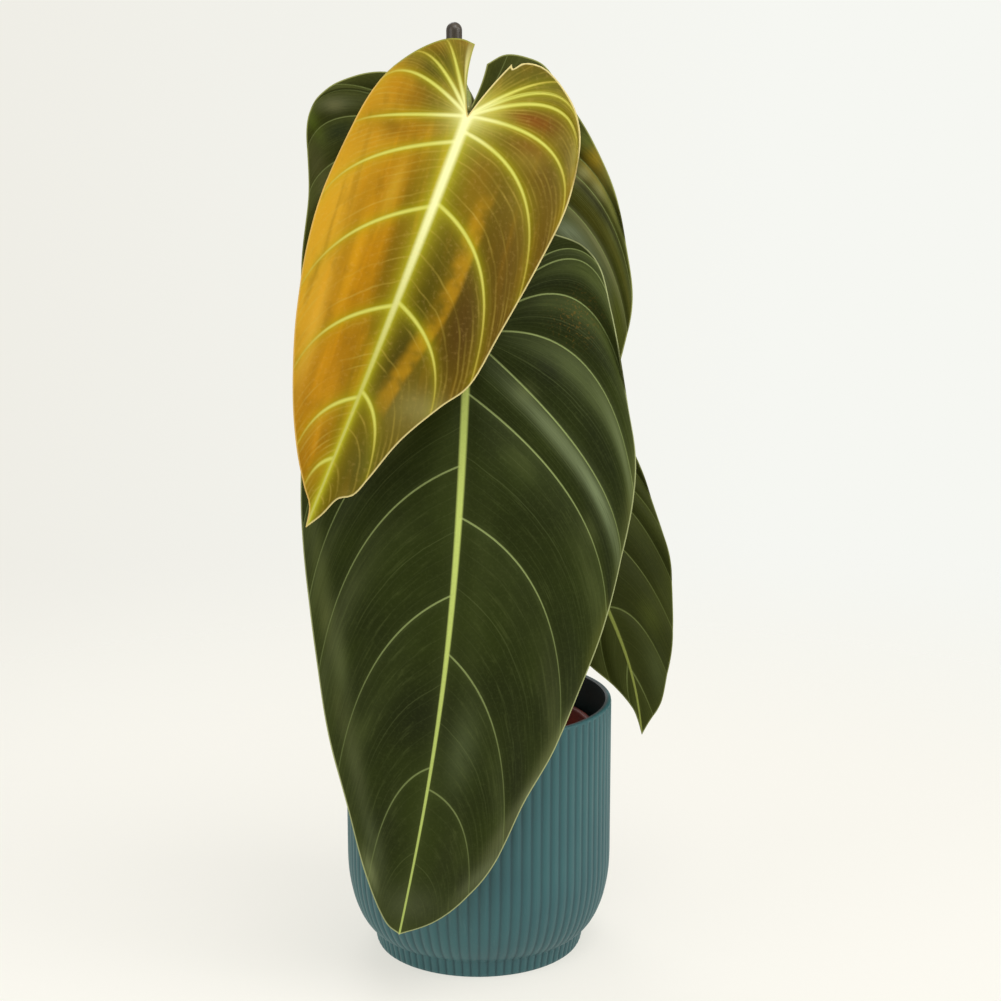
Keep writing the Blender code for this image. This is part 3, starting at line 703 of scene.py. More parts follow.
def soilTop(x, y):
    # the same slow ripple as the solid's, and finer crumbs on it
    wave = np.sin(0.310 * x + 1.3) * np.cos(0.270 * y) + 0.6 * np.sin(0.520 * y + 0.410 * x)
    crumbs = (np.sin(1.9 * x + 0.7 * y) * np.sin(2.3 * y - 0.4 * x)
              + 0.7 * np.sin(3.7 * x + 1.1) * np.sin(3.1 * y)
              + 0.5 * np.sin(5.3 * x + 4.7 * y) * np.sin(4.9 * x - 5.9 * y))
    return pottingMix["top"] + 1.1 * wave + 0.34 * crumbs


def soilPaint():
    p = pottingMix
    look = Finish("pottingMixCrumb")
    fine = look.noise(900.0, 4.0, 0.7)
    look.start(look.noise(130.0, 5.0, 0.7), 0.35, 0.7, p["dark"], p["brown"])
    look.over(p["crumb"], look.ramp(fine, 0.62, 0.75), 0.6)
    return look.done(0.95, look.plus(fine, look.cells(480.0)), 0.0008, 0.9)


def oneBit(name, size, finish, rough, draw):
    # a small chip: a low sphere squashed and dented
    selectNothing()
    bpy.ops.mesh.primitive_ico_sphere_add(subdivisions=1, radius=1.0)
    bit = bpy.context.object
    bit.name = bit.data.name = name
    points = readPoints(bit)
    dent = np.array([1 + rough * (draw.random() - 0.5) for _ in points])
    writePoints(bit, points * dent[:, None] * np.array(size) * mm)
    coat(bit, finish)
    return bit


def makeSoil():
    p = pottingMix
    top, low = p["top"], p["low"]
    rim = nurseryInside(top) - 0.3
    profile = [(rim * (i / p["rings"]), top) for i in range(p["rings"] + 1)]
    profile += [(nurseryInside(z) - 0.6, z) for z in np.linspace(top - 2, low + 1, 8)]
    profile += [(nurseryInside(low) - 1.0, low), (20.0, low), (0.0, low)]
    piece = turnedGrid("pottingMix", profile, p["columns"])
    points = readPoints(piece) / mm
    x, y, z = points.T
    onTop = np.abs(z - top) < 0.01
    edge = np.clip((rim - np.hypot(x, y)) / 3.0, 0.0, 1.0)
    points[:, 2] = np.where(onTop, top + (soilTop(x, y) - top) * edge, z)
    writePoints(piece, points * mm)
    stem, stake = climbingStem, plantStake
    for thing, radius in ((stem, stem["baseRadius"] + 0.7), (stake, stake["radius"] + 0.4)):
        foot = thing["foot"] - 0.3
        tall = top + 20 - foot
        x, y = thing["centre"]
        drillHole(piece, (x * mm, y * mm, (foot + tall / 2) * mm), radius, tall, 40)
    coat(piece, soilPaint())
    draw = random.Random(p["seed"])
    bits = []
    for kind, count, size, rough, *colours in p["bits"]:
        finish = mottledPaint(*colours)
        for i in range(count):
            away = (rim - 5) * math.sqrt(draw.random())
            angle = draw.uniform(0, 2 * math.pi)
            x, y = away * math.cos(angle), away * math.sin(angle)
            scale = draw.uniform(0.5, 1.35)
            bit = oneBit(f"{kind}{i}", [s * scale for s in size], finish, rough, draw)
            nearStem = math.hypot(x - stem["centre"][0], y - stem["centre"][1]) < p["clearance"]["stem"]
            nearStake = math.hypot(x - stake["centre"][0], y - stake["centre"][1]) < p["clearance"]["stake"]
            turn = Matrix.Rotation(draw.uniform(0, 6.28), 4, "Z")
            turn = turn @ Matrix.Rotation(draw.uniform(-0.5, 0.5), 4, "X")
            if nearStem or nearStake:
                bpy.data.objects.remove(bit, do_unlink=True)
                continue
            z = float(soilTop(np.array(x), np.array(y))) + 0.1 * size[2] * scale
            bit.data.transform(Matrix.Translation(Vector((x, y, z)) * mm) @ turn)
            bits.append(bit)
    joinInto(piece, bits)
    replaceNode(piece, 50, "potting_mix", "soil")


makeSoil()


# Leaf stalks

stalks = {
    "petiole_young": [(9.2, 0.0, 295.5), (9.6, 0.0, 335.0), (7.0, -0.5, 400.0), (-1.5, -5.0, 437.0),
                      (-7.5, -18.0, 448.5), (-7.5, -42.0, 450.5), (-5.0, -64.0, 445.0),
                      (-4.4, -73.6, 437.0)],
    "petiole_front": [(1.2, -8.5, 144.5), (0.5, -22.0, 162.0), (-1.0, -36.0, 178.0), (-2.5, -54.0, 210.0),
                      (-3.5, -64.0, 260.0), (-4.4, -66.0, 310.0), (-4.5, -69.0, 328.0),
                      (-4.5, -74.2, 333.4)],
    "petiole_rear": [(1.2, -8.4, 225.0), (0.5, -11.0, 262.0), (-2.0, -12.5, 330.0), (-8.0, -11.0, 390.0),
                     (-11.5, -10.5, 415.0), (-12.3, -15.6, 423.0)],
    "petiole_side": [(7.2, 6.4, 121.5), (11.0, 13.0, 160.0), (17.0, 22.0, 215.0), (24.0, 26.0, 252.0),
                     (28.0, 23.0, 266.0), (28.8, 17.8, 268.4)],
}
stalk = {
    "base": 2.7, "top": 1.8, "sheath": 1.1, "knee": 0.45, "columns": 28, "rows": 110,
    "green": (126, 136, 60), "olive": (104, 98, 48), "fleck": (186, 190, 128), "foot": (112, 78, 44),
}


def stalkPaint():
    look = Finish("stalkSkin")
    cloud = look.noise(90.0, 4.0)
    fleck = look.cells(620.0)
    look.start(cloud, 0.35, 0.7, stalk["green"], stalk["olive"])
    look.over(stalk["fleck"], look.ramp(fleck, 0.26, 0.12), 0.7)
    look.over(stalk["foot"], look.ramp(look.attribute("along"), 22.0, 0.0), 0.6)
    return look.done(0.45, look.plus(look.times(fleck, -1.0), look.times(cloud, 0.5)), 0.0002, 0.5)


def makeStalk(node, finish):
    points = np.array(stalks[node])
    centre = np.array([*climbingStem["centre"], points[0][2]])
    # both ends reach in a little, to the stem and to the blade
    first = points[0] + (centre - points[0]) * 0.42 - np.array([0.0, 0.0, 2.0])
    ahead = points[-1] - points[-2]
    last = points[-1] + ahead / np.linalg.norm(ahead) * 1.4
    path = smoothLine([first, *points, last], stalk["rows"])
    length = lengthAlong(path)[-1]

    def radius(share, angle):
        run = share * length
        size = stalk["base"] + (stalk["top"] - stalk["base"]) * share
        size = size + stalk["sheath"] * bell(run, 9.0) + stalk["knee"] * bell(length - run - 9.0, 6.0)
        closeEnds = np.minimum(1.0, np.sqrt(np.maximum((length - run) / 1.2, 0.0) + 0.05))
        channel = 1 - 0.10 * bell(np.cos(angle / 2), 0.25)
        return size * channel * closeEnds * (1 + 0.02 * np.sin(0.7 * run + angle))

    piece = limb("stalk" + node.split("_")[1].capitalize(), path, radius, stalk["columns"])
    coat(piece, finish)
    replaceNode(piece, 60, "petiole_skin", node)


stalkFinish = stalkPaint()
for stalkNode in stalks:
    makeStalk(stalkNode, stalkFinish)


# Leaf blades. Outlines, veins and bows are in millimetres across and along each blade from its stalk

blades = {
    "leaf_young": {
        "attach": (-4.3, -78.0, 434.7), "length": 194.0, "turn": -6.0, "roll": -20.5, "rise": 100.0,
        "sag": 43.3, "fold": 0.16, "curl": 2.5, "quilt": 0.045, "quiltMost": 1.1, "sway": (1.9, 1.0),
        "wave": (1.2, 5.0, 0.6), "hollow": (0.4, -0.15), "leftPull": {1: -0.256, 2: 0.051},
        "rightPull": {2: 0.048, 4: -0.061},
        "left": [(-10, -31), (-17, -31), (-26, -27), (-37, -16), (-45, -1), (-49, 22), (-50, 52),
                 (-47, 80), (-41, 103), (-31, 133), (-18, 160), (-8, 176), (-2, 184)],
        "right": [(9.5, -28.5), (11, -26.5), (14.5, -31), (24, -32), (36, -26), (46, -17), (53, -3),
                  (57, 22), (55, 50), (50, 85), (46, 110), (37, 124), (26, 143), (19, 163), (15, 173),
                  (9, 177), (5, 186)],
        "leftVeins": [(0, 0.057, 16), (0, 0.117, 14.7), (0, 0.205, 20), (0, 0.285, -3), (12, 0.425, 3),
                      (42, 0.585, 6), (88, 0.725, 6), (131, 0.855, 6), (160, 0.925, 4)],
        "rightVeins": [(0, 0.1, 10.5), (0, 0.214, 38.9), (0, 0.294, 47.6), (0, 0.358, 28.3),
                       (7, 0.495, 28), (40, 0.645, 23), (86, 0.725, 10), (128, 0.875, 12)],
    },
    "leaf_front": {
        "attach": (-4.5, -78.0, 334.2), "length": 294.7, "turn": 3.0, "roll": -6.9, "rise": 61.0,
        "sag": 46.5, "fold": 0.13, "curl": 1.5, "quilt": 0.075, "quiltMost": 2.2, "sway": (6.6, 1.05),
        "wave": (2.2, 6.0, 0.0), "hollow": (0.2, 0.2), "rightPull": {2: 0.075, 3: 0.203, 4: 0.173},
        "left": [(-26, -41), (-38, -42), (-50, -36), (-62, -24), (-70, -3), (-73, 25), (-72, 60),
                 (-68, 100), (-60, 138), (-51, 176), (-42, 206), (-31, 235), (-19, 267), (-8, 288)],
        "right": [(16, -46), (25, -51), (38, -50), (51, -46), (61, -36), (68, -17), (75, 5), (82, 28),
                  (88, 51), (89, 77), (86, 108), (78, 150), (66, 191), (54, 221), (44, 251), (32, 272),
                  (18, 286)],
        "leftVeins": [(0, 0.03, -2), (0, 0.09, 13), (0, 0.24, 38), (0, 0.35, 32), (0, 0.455, 24),
                      (23, 0.54, 18), (60, 0.635, 28), (121, 0.765, 24), (206, 0.915, 22)],
        "rightVeins": [(0, 0.124, 45), (0, 0.157, 53), (0, 0.275, 66.5), (0, 0.387, 54), (0, 0.465, -4),
                       (26, 0.535, 8), (84, 0.685, 30), (149, 0.835, 22), (217, 0.905, 18)],
    },
    "leaf_rear": {
        "attach": (-12.3, -20.0, 424.0), "length": 225.0, "turn": 0.0, "roll": 3.0, "rise": 27.0,
        "sag": 9.5, "fold": 0.13, "curl": 1.5, "quilt": 0.09, "quiltMost": 2.6, "sway": (-4.0, 1.0),
        "wave": (1.6, 6.0, 1.2), "hollow": (0.25, 0.25), "rightPull": {3: 0.047, 4: -0.021},
        "left": [(-18, -28), (-28, -32.5), (-40, -33), (-53, -30), (-61, -26), (-68, -19), (-72, -6),
                 (-73, 25), (-79, 60), (-81, 95), (-78, 125), (-70, 150), (-57, 175), (-38, 197),
                 (-16, 214)],
        "right": [(19, -34), (28, -38), (38, -36.5), (48, -31), (57, -16), (69, 5), (79, 30), (84, 58),
                  (86, 85), (80, 110), (71, 135), (59, 160), (42, 185), (20, 208)],
        "leftVeins": [(0, 0.125, 16), (0, 0.175, 32), (0, 0.235, 28), (0, 0.305, 14), (0, 0.445, 6),
                      (25, 0.63, 18), (70, 0.75, 16), (120, 0.86, 14), (170, 0.94, 8)],
        "rightVeins": [(0, 0.035, -6), (0, 0.125, 9), (0, 0.394, 40.3), (0, 0.484, 39.5), (10, 0.533, 32),
                       (34, 0.63, 16), (75, 0.74, 14), (122, 0.86, 15), (170, 0.93, 8)],
    },
    "leaf_side": {
        "attach": (28.6, 14.0, 268.6), "length": 168.0, "turn": 12.0, "roll": 19.3, "rise": 30.0,
        "sag": 10.0, "fold": 0.12, "curl": 1.5, "quilt": 0.075, "quiltMost": 1.6, "sway": (6.5, 2.0),
        "wave": (1.5, 5.0, 2.0), "hollow": (0.2, 0.2),
        "left": [(-6, -24), (-13, -26), (-19, -18), (-24, 0), (-27, 23), (-29, 47), (-29, 75), (-25, 100),
                 (-14, 121.5), (-5, 138), (0, 152), (0.5, 161)],
        "right": [(9, -24), (20, -27), (33, -23), (42, -12), (47.5, 5), (50, 35), (49.5, 70), (47, 90),
                  (40, 112), (31, 132), (19, 152), (13, 158.5), (6, 163)],
        "leftVeins": [(0, 0.055, -1), (0, 0.155, 7), (0, 0.33, 16), (5, 0.48, 12), (30, 0.6, 10),
                      (60, 0.73, 10), (93, 0.84, 10), (128, 0.92, 0)],
        "rightVeins": [(0, 0.055, -1), (0, 0.145, 8), (0, 0.31, 26), (0, 0.45, 18), (6, 0.54, 14),
                       (26, 0.644, 34), (44, 0.751, 20), (96, 0.852, 18), (132, 0.95, 5)],
    },
}
bladeMesh = {
    "halfColumns": 46, "rowStep": 1.6, "marginPoints": 241, "thickness": 0.7, "ribThickness": 2.2,
    "ribFlat": 6.0, "quiltStart": 5.0, "spreadFirst": 0.5, "spreadMore": 0.42,
    "ribWidth": (1.9, 0.45),      # half width of the midrib at the stalk and at the tip
    "ribRaise": 0.35, "veinDip": 0.30, "veinRaise": 0.14,
    "veinWidth": 0.45, "dipWidth": 1.3, "veinClear": 3.0,      # veins stay off the margin by veinClear
    "crowdRows": 0.11, "crowdColumns": 0.09, "linePoints": 25,
}


def bladeAxes(leaf):
    # directions across, along and out of the blade's upper face
    turn, roll = math.radians(leaf["turn"]), math.radians(leaf["roll"])
    level = np.array([math.cos(turn), math.sin(turn), 0.0])
    down = np.array([0.0, 0.0, -1.0])
    across = level * math.cos(roll) - down * math.sin(roll)
    along = down * math.cos(roll) + level * math.sin(roll)
    return across, along, np.cross(down, level)


def ribPlace(leaf, t):
    size, skew = leaf["sway"]
    return size * np.sin(math.pi * np.clip(t / leaf["length"], 0.0, 1.0) ** skew)


class HalfBlade:
    # one half's margin and veins; veins are numbered from the sinus edge, 0, to the tip
    def __init__(self, leaf, name, hollow):
        self.leaf, self.hollow = leaf, hollow
        self.margin = smoothLine(leaf[name] + [(0.0, leaf["length"])], bladeMesh["marginPoints"])
        veins = [(0, 0.0, 0)] + leaf[name + "Veins"] + [(leaf["length"], 1.0, 0)]
        self.starts, self.shares, self.lifts = np.array(veins, dtype=float).T
        self.last = len(veins) - 1
        self.basal = int(np.sum(self.starts == 0)) - 1
        self.pull = np.zeros(len(veins))      # how much nearer the rib a vein bends than its neighbours
        for number, amount in leaf.get(name + "Pull", {}).items():
            self.pull[number] = amount

    def veinNumber(self, row):
        # rows below 0 fan out from the stalk, the rest start that many millimetres down the rib
        starts = self.starts[self.basal:]
        return self.basal + np.where(row < 0, self.basal * row, np.interp(row, starts, range(len(starts))))

    def points(self, k, b):
        # flat places (across, along) on vein k at the share b of the way out to the margin
        startT, share, lift, pull = (np.interp(k, range(self.last + 1), values)
                                     for values in (self.starts, self.shares, self.lifts, self.pull))
        start = np.stack([np.where(startT > 0, ribPlace(self.leaf, startT), 0.0), startT], axis=-1)
        places = np.linspace(0.0, 1.0, len(self.margin))
        end = np.stack([np.interp(share, places, side) for side in self.margin.T], axis=-1)
        reach = end - start
        spread = bladeMesh["spreadFirst"] + bladeMesh["spreadMore"] * (1 - bell(k, 2))
        spread = spread + self.hollow * bell(k, 0.6) - pull
        bend = start + np.stack([spread * reach[..., 0], 0.5 * reach[..., 1] - lift], axis=-1)
        b = b[..., None]
        return (1 - b) ** 2 * start + 2 * b * (1 - b) * bend + b * b * end, share

    def line(self, number):
        count = bladeMesh["linePoints"]
        return self.points(np.full(count, float(number)), np.linspace(0.0, 1.0, count))[0]


def distanceTo(points, line):
    nearest = np.full(len(points), np.inf)
    for here, there in zip(line, line[1:]):
        step = there - here
        share = np.clip(((points - here) @ step) / max(step @ step, 1e-9), 0.0, 1.0)
        nearest = np.minimum(nearest, np.linalg.norm(points - here - share[:, None] * step, axis=1))
    return nearest


def bladeRows(leaf, halves):
    # every main vein of both halves has a row, and rows crowd together beside them
    firm = {-1.0, 0.0, leaf["length"]}
    for half in halves:
        firm |= {i / half.basal - 1 for i in range(half.basal)}
        firm |= {float(t) for t in half.starts[half.basal:]}
    firm = sorted(firm)
    rows = [firm[0]]
    for low, high in zip(firm, firm[1:]):
        ends = [half.points(half.veinNumber(np.array([low, high])), np.ones(2))[0] for half in halves]
        width = max(float(np.linalg.norm(pair[1] - pair[0])) for pair in ends)
        count = max(3, round(width / bladeMesh["rowStep"]))
        for i in range(1, count + 1):
            share = i / count
            share -= bladeMesh["crowdRows"] * math.sin(2 * math.pi * share)
            rows.append(low + (high - low) * share)
    return np.array(rows)


def panelSpread(half, k, b):
    # millimetres from one main vein to the next, measured square to the veins
    step = 0.01
    lower, upper = (half.points(np.clip(k + change, 0, half.last), b)[0] for change in (-step, step))
    inner, outer = (half.points(k, np.clip(b + change, 0, 1))[0] for change in (-step, step))
    overK, overB = (upper - lower) / (2 * step), outer - inner
    cross = np.abs(overK[..., 0] * overB[..., 1] - overK[..., 1] * overB[..., 0])
    return cross / np.maximum(np.linalg.norm(overB, axis=-1), 1e-6)


def bladeFields(leaf, half, rows, b):
    # places, heights and pattern distances of one half, row by row and column by column
    p = bladeMesh
    k = np.broadcast_to(half.veinNumber(rows)[:, None], (len(rows), len(b)))
    b = np.broadcast_to(b[None, :], k.shape)
    flat, share = half.points(k, b)
    s, t = flat[..., 0], flat[..., 1]
    above = np.minimum(np.floor(k), half.last - 1)
    width = np.linalg.norm(half.points(above + 1, b)[0] - half.points(above, b)[0], axis=-1)
    down = t / leaf["length"]
    outward = s - ribPlace(leaf, t)
    off = np.abs(outward)
    bow = leaf["rise"] * down - leaf["sag"] * down * down
    fold = leaf["fold"] * (np.hypot(off, p["ribFlat"]) - p["ribFlat"])
    curl = leaf["curl"] * mm * off * off
    size, count, shift = leaf["wave"]
    ripple = size * b ** 2.5 * np.sin(2 * math.pi * count * share + shift) * (1 - share ** 4)
    between = 1 - (2 * (k - np.floor(k)) - 1) ** 2
    lift = np.minimum(leaf["quilt"] * width, leaf["quiltMost"])
    quilt = lift * between * (1 - bell(off, p["quiltStart"])) * (1 - 0.6 * b ** 6)
    points = flat.reshape(-1, 2)
    vein = np.min([distanceTo(points, half.line(number)) for number in range(1, half.last)], axis=0)
    vein = vein.reshape(s.shape)
    edge = np.minimum(distanceTo(points, half.margin), distanceTo(points, half.line(0))).reshape(s.shape)
    ribHalf = np.interp(np.clip(down, 0, 1), (0.0, 1.0), p["ribWidth"])
    onRib = np.exp(-(off / ribHalf) ** 4) * (t > 0)
    midrib = p["ribRaise"] * onRib * (1 - 0.6 * np.clip(down, 0, 1))
    relief = p["veinRaise"] * bell(vein, p["veinWidth"]) - p["veinDip"] * bell(vein, p["dipWidth"])
    relief = relief * np.clip(edge / p["veinClear"], 0, 1) * (1 - onRib)
    steepness = leaf["fold"] * off / np.hypot(off, p["ribFlat"]) + 2 * leaf["curl"] * mm * off
    return {"s": s, "t": t, "height": bow - fold - curl + ripple + quilt + midrib + relief, "k": k, "b": b,
            "vein": vein, "edge": edge, "spread": panelSpread(half, k, b), "outward": outward,
            "hub": np.hypot(s, t), "onRib": onRib, "leanAcross": -np.sign(outward) * steepness,
            "leanAlong": (leaf["rise"] - 2 * leaf["sag"] * down) / leaf["length"]}


def takeAttribute(piece, name):
    # reads a point attribute and removes it
    layer = piece.data.attributes[name]
    values = readAll(layer.data, "value").astype(float)
    piece.data.attributes.remove(layer)
    return values


def setBack(piece, front, axes):
    # the back lies at its own depth behind the front, square to the blade's smooth bow
    across, along, out = axes
    points = readPoints(piece)
    count = len(front)
    depth, leanAcross, leanAlong = (takeAttribute(piece, name)[:count, None]
                                    for name in ("depth", "leanAcross", "leanAlong"))
    square = out - leanAcross * across - leanAlong * along
    square /= np.linalg.norm(square, axis=1, keepdims=True)
    backIsLast = np.abs(points[:count] - front).max() < np.abs(points[count:] - front).max()
    back = slice(count, None) if backIsLast else slice(0, count)
    points[back] = front - square * depth * mm
    writePoints(piece, points)


def writeVeinMap(piece, leftK, rightK, reach, column, row):
    # vein number and share of the way out at every corner, as a UV map for the colours
    sheet = piece.data.uv_layers.active or piece.data.uv_layers.new(name="UVMap")
    sheet.name = "veinMap"
    corners = readAll(piece.data.loops, "vertex_index", kind=np.int32)
    middles = column[corners].reshape(-1, 4).mean(axis=1).repeat(4)
    cornerK = np.where(middles < bladeMesh["halfColumns"], leftK[row[corners]], rightK[row[corners]])
    flat = np.stack([cornerK, reach[corners]], axis=1)
    sheet.data.foreach_set("uv", flat.astype(np.float32).ravel())


def makeBlade(node, slot, finishes):
    leaf, p = blades[node], bladeMesh
    halves = [HalfBlade(leaf, name, hollow) for name, hollow in zip(("left", "right"), leaf["hollow"])]
    rows = bladeRows(leaf, halves)
    count = p["halfColumns"]
    u = np.arange(count + 1) / count
    b = u - p["crowdColumns"] * np.sin(2 * math.pi * u)
    left, right = (bladeFields(leaf, half, rows, b) for half in halves)
    fields = {key: np.concatenate([left[key][:, ::-1], right[key][:, 1:]], axis=1) for key in left}
    piece, column, row = startGrid("blade" + node.split("_")[1].capitalize(), 2 * count, len(rows) - 1)
    values = {key: field[row, column] for key, field in fields.items()}
    axes = bladeAxes(leaf)
    flat = np.stack([values[key] for key in ("s", "t", "height")], axis=1)
    writePoints(piece, (np.array(leaf["attach"]) + flat @ np.array(axes)) * mm)
    writeVeinMap(piece, left["k"][:, 0], right["k"][:, 0], values["b"], column, row)
    # the sheet is thicker at the midrib, under the main veins and round the stalk
    thick = values["onRib"] * (1 - np.clip(values["t"] / leaf["length"], 0, 1)) * 0.9
    thick = np.max([thick, 0.16 * bell(values["vein"], 0.8), 0.8 * bell(values["hub"], 4.0)], axis=0)
    values["depth"] = np.interp(thick, (0.0, 1.0), (p["thickness"], p["ribThickness"]))
    values["down"] = values["t"]
    writeAttributes(piece, **{key: values[key] for key in (
        "vein", "edge", "spread", "outward", "hub", "down", "depth", "leanAcross", "leanAlong")})
    onWholeMesh(piece, bpy.ops.mesh.remove_doubles, threshold=0.00003)
    if (readAll(piece.data.polygons, "normal", 3) @ axes[2]).mean() < 0:
        onWholeMesh(piece, bpy.ops.mesh.flip_normals)
    front = readPoints(piece)
    solid = piece.modifiers.new("thickness", "SOLIDIFY")
    solid.thickness = p["thickness"] * mm
    solid.offset = -1.0
    solid.use_even_offset = False
    solid.material_offset = 1
    solid.material_offset_rim = 2
    for finish in finishes:
        piece.data.materials.append(finish)
    applyModifiers(piece)
    setBack(piece, front, axes)
    replaceNode(piece, 55, slot, node)


class BladeFinish(Finish):
    # knows where a point lies on its blade: millimetres from the rib, along it, from a vein and so on
    def __init__(self, name):
        super().__init__(name)
        self.outward, self.down, self.vein, self.edge, self.hub = (
            self.attribute(key) for key in ("outward", "down", "vein", "edge", "hub"))
        self.rib = self.math("ABSOLUTE", self.outward)
        # vein number, and place along the vein, 0 at the rib
        self.number, self.reach = self.xyz(self.add("ShaderNodeUVMap", uv_map="veinMap").outputs[0])[:2]
        self.flat = self.vector(self.outward, self.down)
        self.share = self.math("FRACT", self.number)     # place across a panel, 0 under its upper vein

    def clouds(self, scale):
        return self.noise(scale, 2.0, at=self.flat)

    def lines(self, count, width, bend=0.035):
        # thin lines of one width that run with the main veins, count of them in each panel
        k = self.plus(self.number, self.times(self.plus(self.clouds(0.05), -0.5), bend))
        far = self.math("ABSOLUTE", self.plus(self.math("FRACT", self.times(k, count)), -0.5))
        apart = self.times(self.plus(0.5, self.times(far, -1.0)), self.attribute("spread"), 1.0 / count)
        return self.ramp(apart, width, 0.0)

    def patch(self, colour, place, size, strength, slant=0.0):
        # a soft patch at (across, along); slant leans it off the rib's direction
        across = self.plus(self.outward, self.times(self.down, slant))
        self.over(colour, self.hump(across, place[0] + slant * place[1], size[0]),
                  self.hump(self.down, place[1], size[1]), strength)

    def streak(self, colour, place, size, strength, side=1):
        # a soft streak beside a main vein, at (vein number, share of the way out) on one half; used for
        # painted sheen and painted shade on the quilted panels
        self.over(colour, self.hump(self.number, place[0], size[0]),
                  self.hump(self.reach, place[1], size[1]),
                  self.ramp(self.outward, -0.5 * side, 0.5 * side), strength)

    def nap(self, fineness):
        # brushed pile that lies along the veins
        brushed = self.vector(self.times(self.number, fineness), self.times(self.reach, 5.0),
                              self.times(self.rib, 0.02))
        return self.noise(1.0, 3.0, 0.6, at=brushed)

    def core(self, distance, width, outer=1.25, inner=0.45):
        # the line itself: solid to inner widths from its middle, gone at outer widths
        return self.ramp(distance, self.times(width, outer), self.times(width, inner))


youngPaint = {
    # the left tones are partly the leaf's own copper colour, partly painted light coming through it; the
    # right tones partly its colour, partly painted shade
    "leftInner": (122, 98, 6), "leftMiddle": (164, 112, 2), "leftOuter": (208, 158, 36),
    "rightInner": (102, 86, 6), "rightOuter": (98, 74, 8), "stripeDark": (128, 92, 8),
    "stripeLight": (214, 150, 14), "glow": (166, 162, 20), "vein": (208, 208, 96),
    "veinEnd": (190, 172, 66), "ribTop": (240, 240, 176), "ribTip": (192, 190, 92), "fine": (196, 172, 70),
    "margin": (222, 206, 140), "marginLeft": (214, 176, 92), "veinStart": (230, 230, 150),
    "streak": (184, 136, 18), "mottle": (84, 62, 8), "lobeGlow": (196, 190, 70), "ribGlow": (204, 202, 56),
    "folded": (212, 204, 126), "marginLobe": (150, 150, 66), "grain": (240, 200, 110),
    # the patches are partly the leaf's own colour and partly painted light: the pale olive ones are painted
    # sheen, the darkest ones painted shade
    "patches": [   # colour, place (across, along), size, strength, slant
        ((58, 52, 4), (-20, -15), (20, 13), 0.95), ((38, 36, 2), (-20, -15), (10, 8), 0.7),
        ((78, 68, 6), (-14, -1), (10, 7), 0.65), ((112, 112, 44), (-24, -29), (16, 4.5), 0.55),
        ((180, 126, 8), (-37, -3), (6, 9), 0.75), ((136, 96, 8), (-27, 3), (6, 5), 0.6),
        ((112, 78, 4), (-32, 16), (9, 5), 0.75), ((96, 82, 6), (-14, 3), (9, 8), 0.7),
        ((112, 100, 8), (-11, 32), (5, 18), 0.55), ((100, 80, 4), (-10, 68), (5, 40), 0.65),
        ((146, 104, 4), (-28, 46), (6, 14), 0.45), ((166, 120, 18), (-42, 16), (9, 24), 0.6),
        ((104, 104, 34), (-36, -16), (9, 7), 0.5, 0.4), ((92, 92, 30), (-14, -24), (7, 7), 0.5),
        ((204, 166, 44), (-20, 42), (3.5, 16), 0.55), ((226, 178, 60), (-31, 112), (4, 26), 0.5, -0.1),
        ((190, 134, 10), (-16, 82), (4, 26), 0.6, -0.06),
        ((214, 156, 22), (-25, 80), (3.5, 32), 0.7, -0.08),
        ((150, 108, 10), (-31, 70), (3.0, 30), 0.5, -0.1), ((206, 150, 30), (-14, 140), (8, 22), 0.5),
        ((188, 128, 14), (-5, 165), (5, 12), 0.5), ((122, 62, 10), (26, -8), (12, 5), 0.95),
        ((112, 66, 10), (32, 3), (9, 5), 0.8), ((88, 86, 22), (28, -25), (26, 8), 0.8),
        ((66, 64, 6), (20, -15), (7, 5), 0.55), ((150, 130, 42), (33, 9), (8, 5), 0.45),
        ((184, 172, 96), (53, -2), (4.5, 10), 0.75), ((152, 136, 48), (44, -4), (5, 6), 0.4),
        ((150, 116, 12), (14, 36), (5, 12), 0.4), ((86, 70, 14), (48, 2), (7, 16), 0.6),
        ((128, 92, 10), (14, 22), (7, 12), 0.6), ((116, 100, 22), (38, 28), (10, 10), 0.5),
        ((70, 62, 4), (11, 84), (4.5, 34), 0.8), ((64, 56, 8), (9, 110), (6, 18), 0.8),
        ((68, 48, 6), (29, 84), (6, 32), 0.6), ((78, 56, 14), (34, 84), (8, 24), 0.9),
        ((118, 106, 42), (24, 132), (15, 14), 0.8), ((142, 134, 76), (31, 127), (13, 7), 0.6),
        ((84, 80, 28), (14, 158), (9, 14), 0.8), ((150, 138, 66), (12, 176), (4, 5), 0.3),
    ],
}


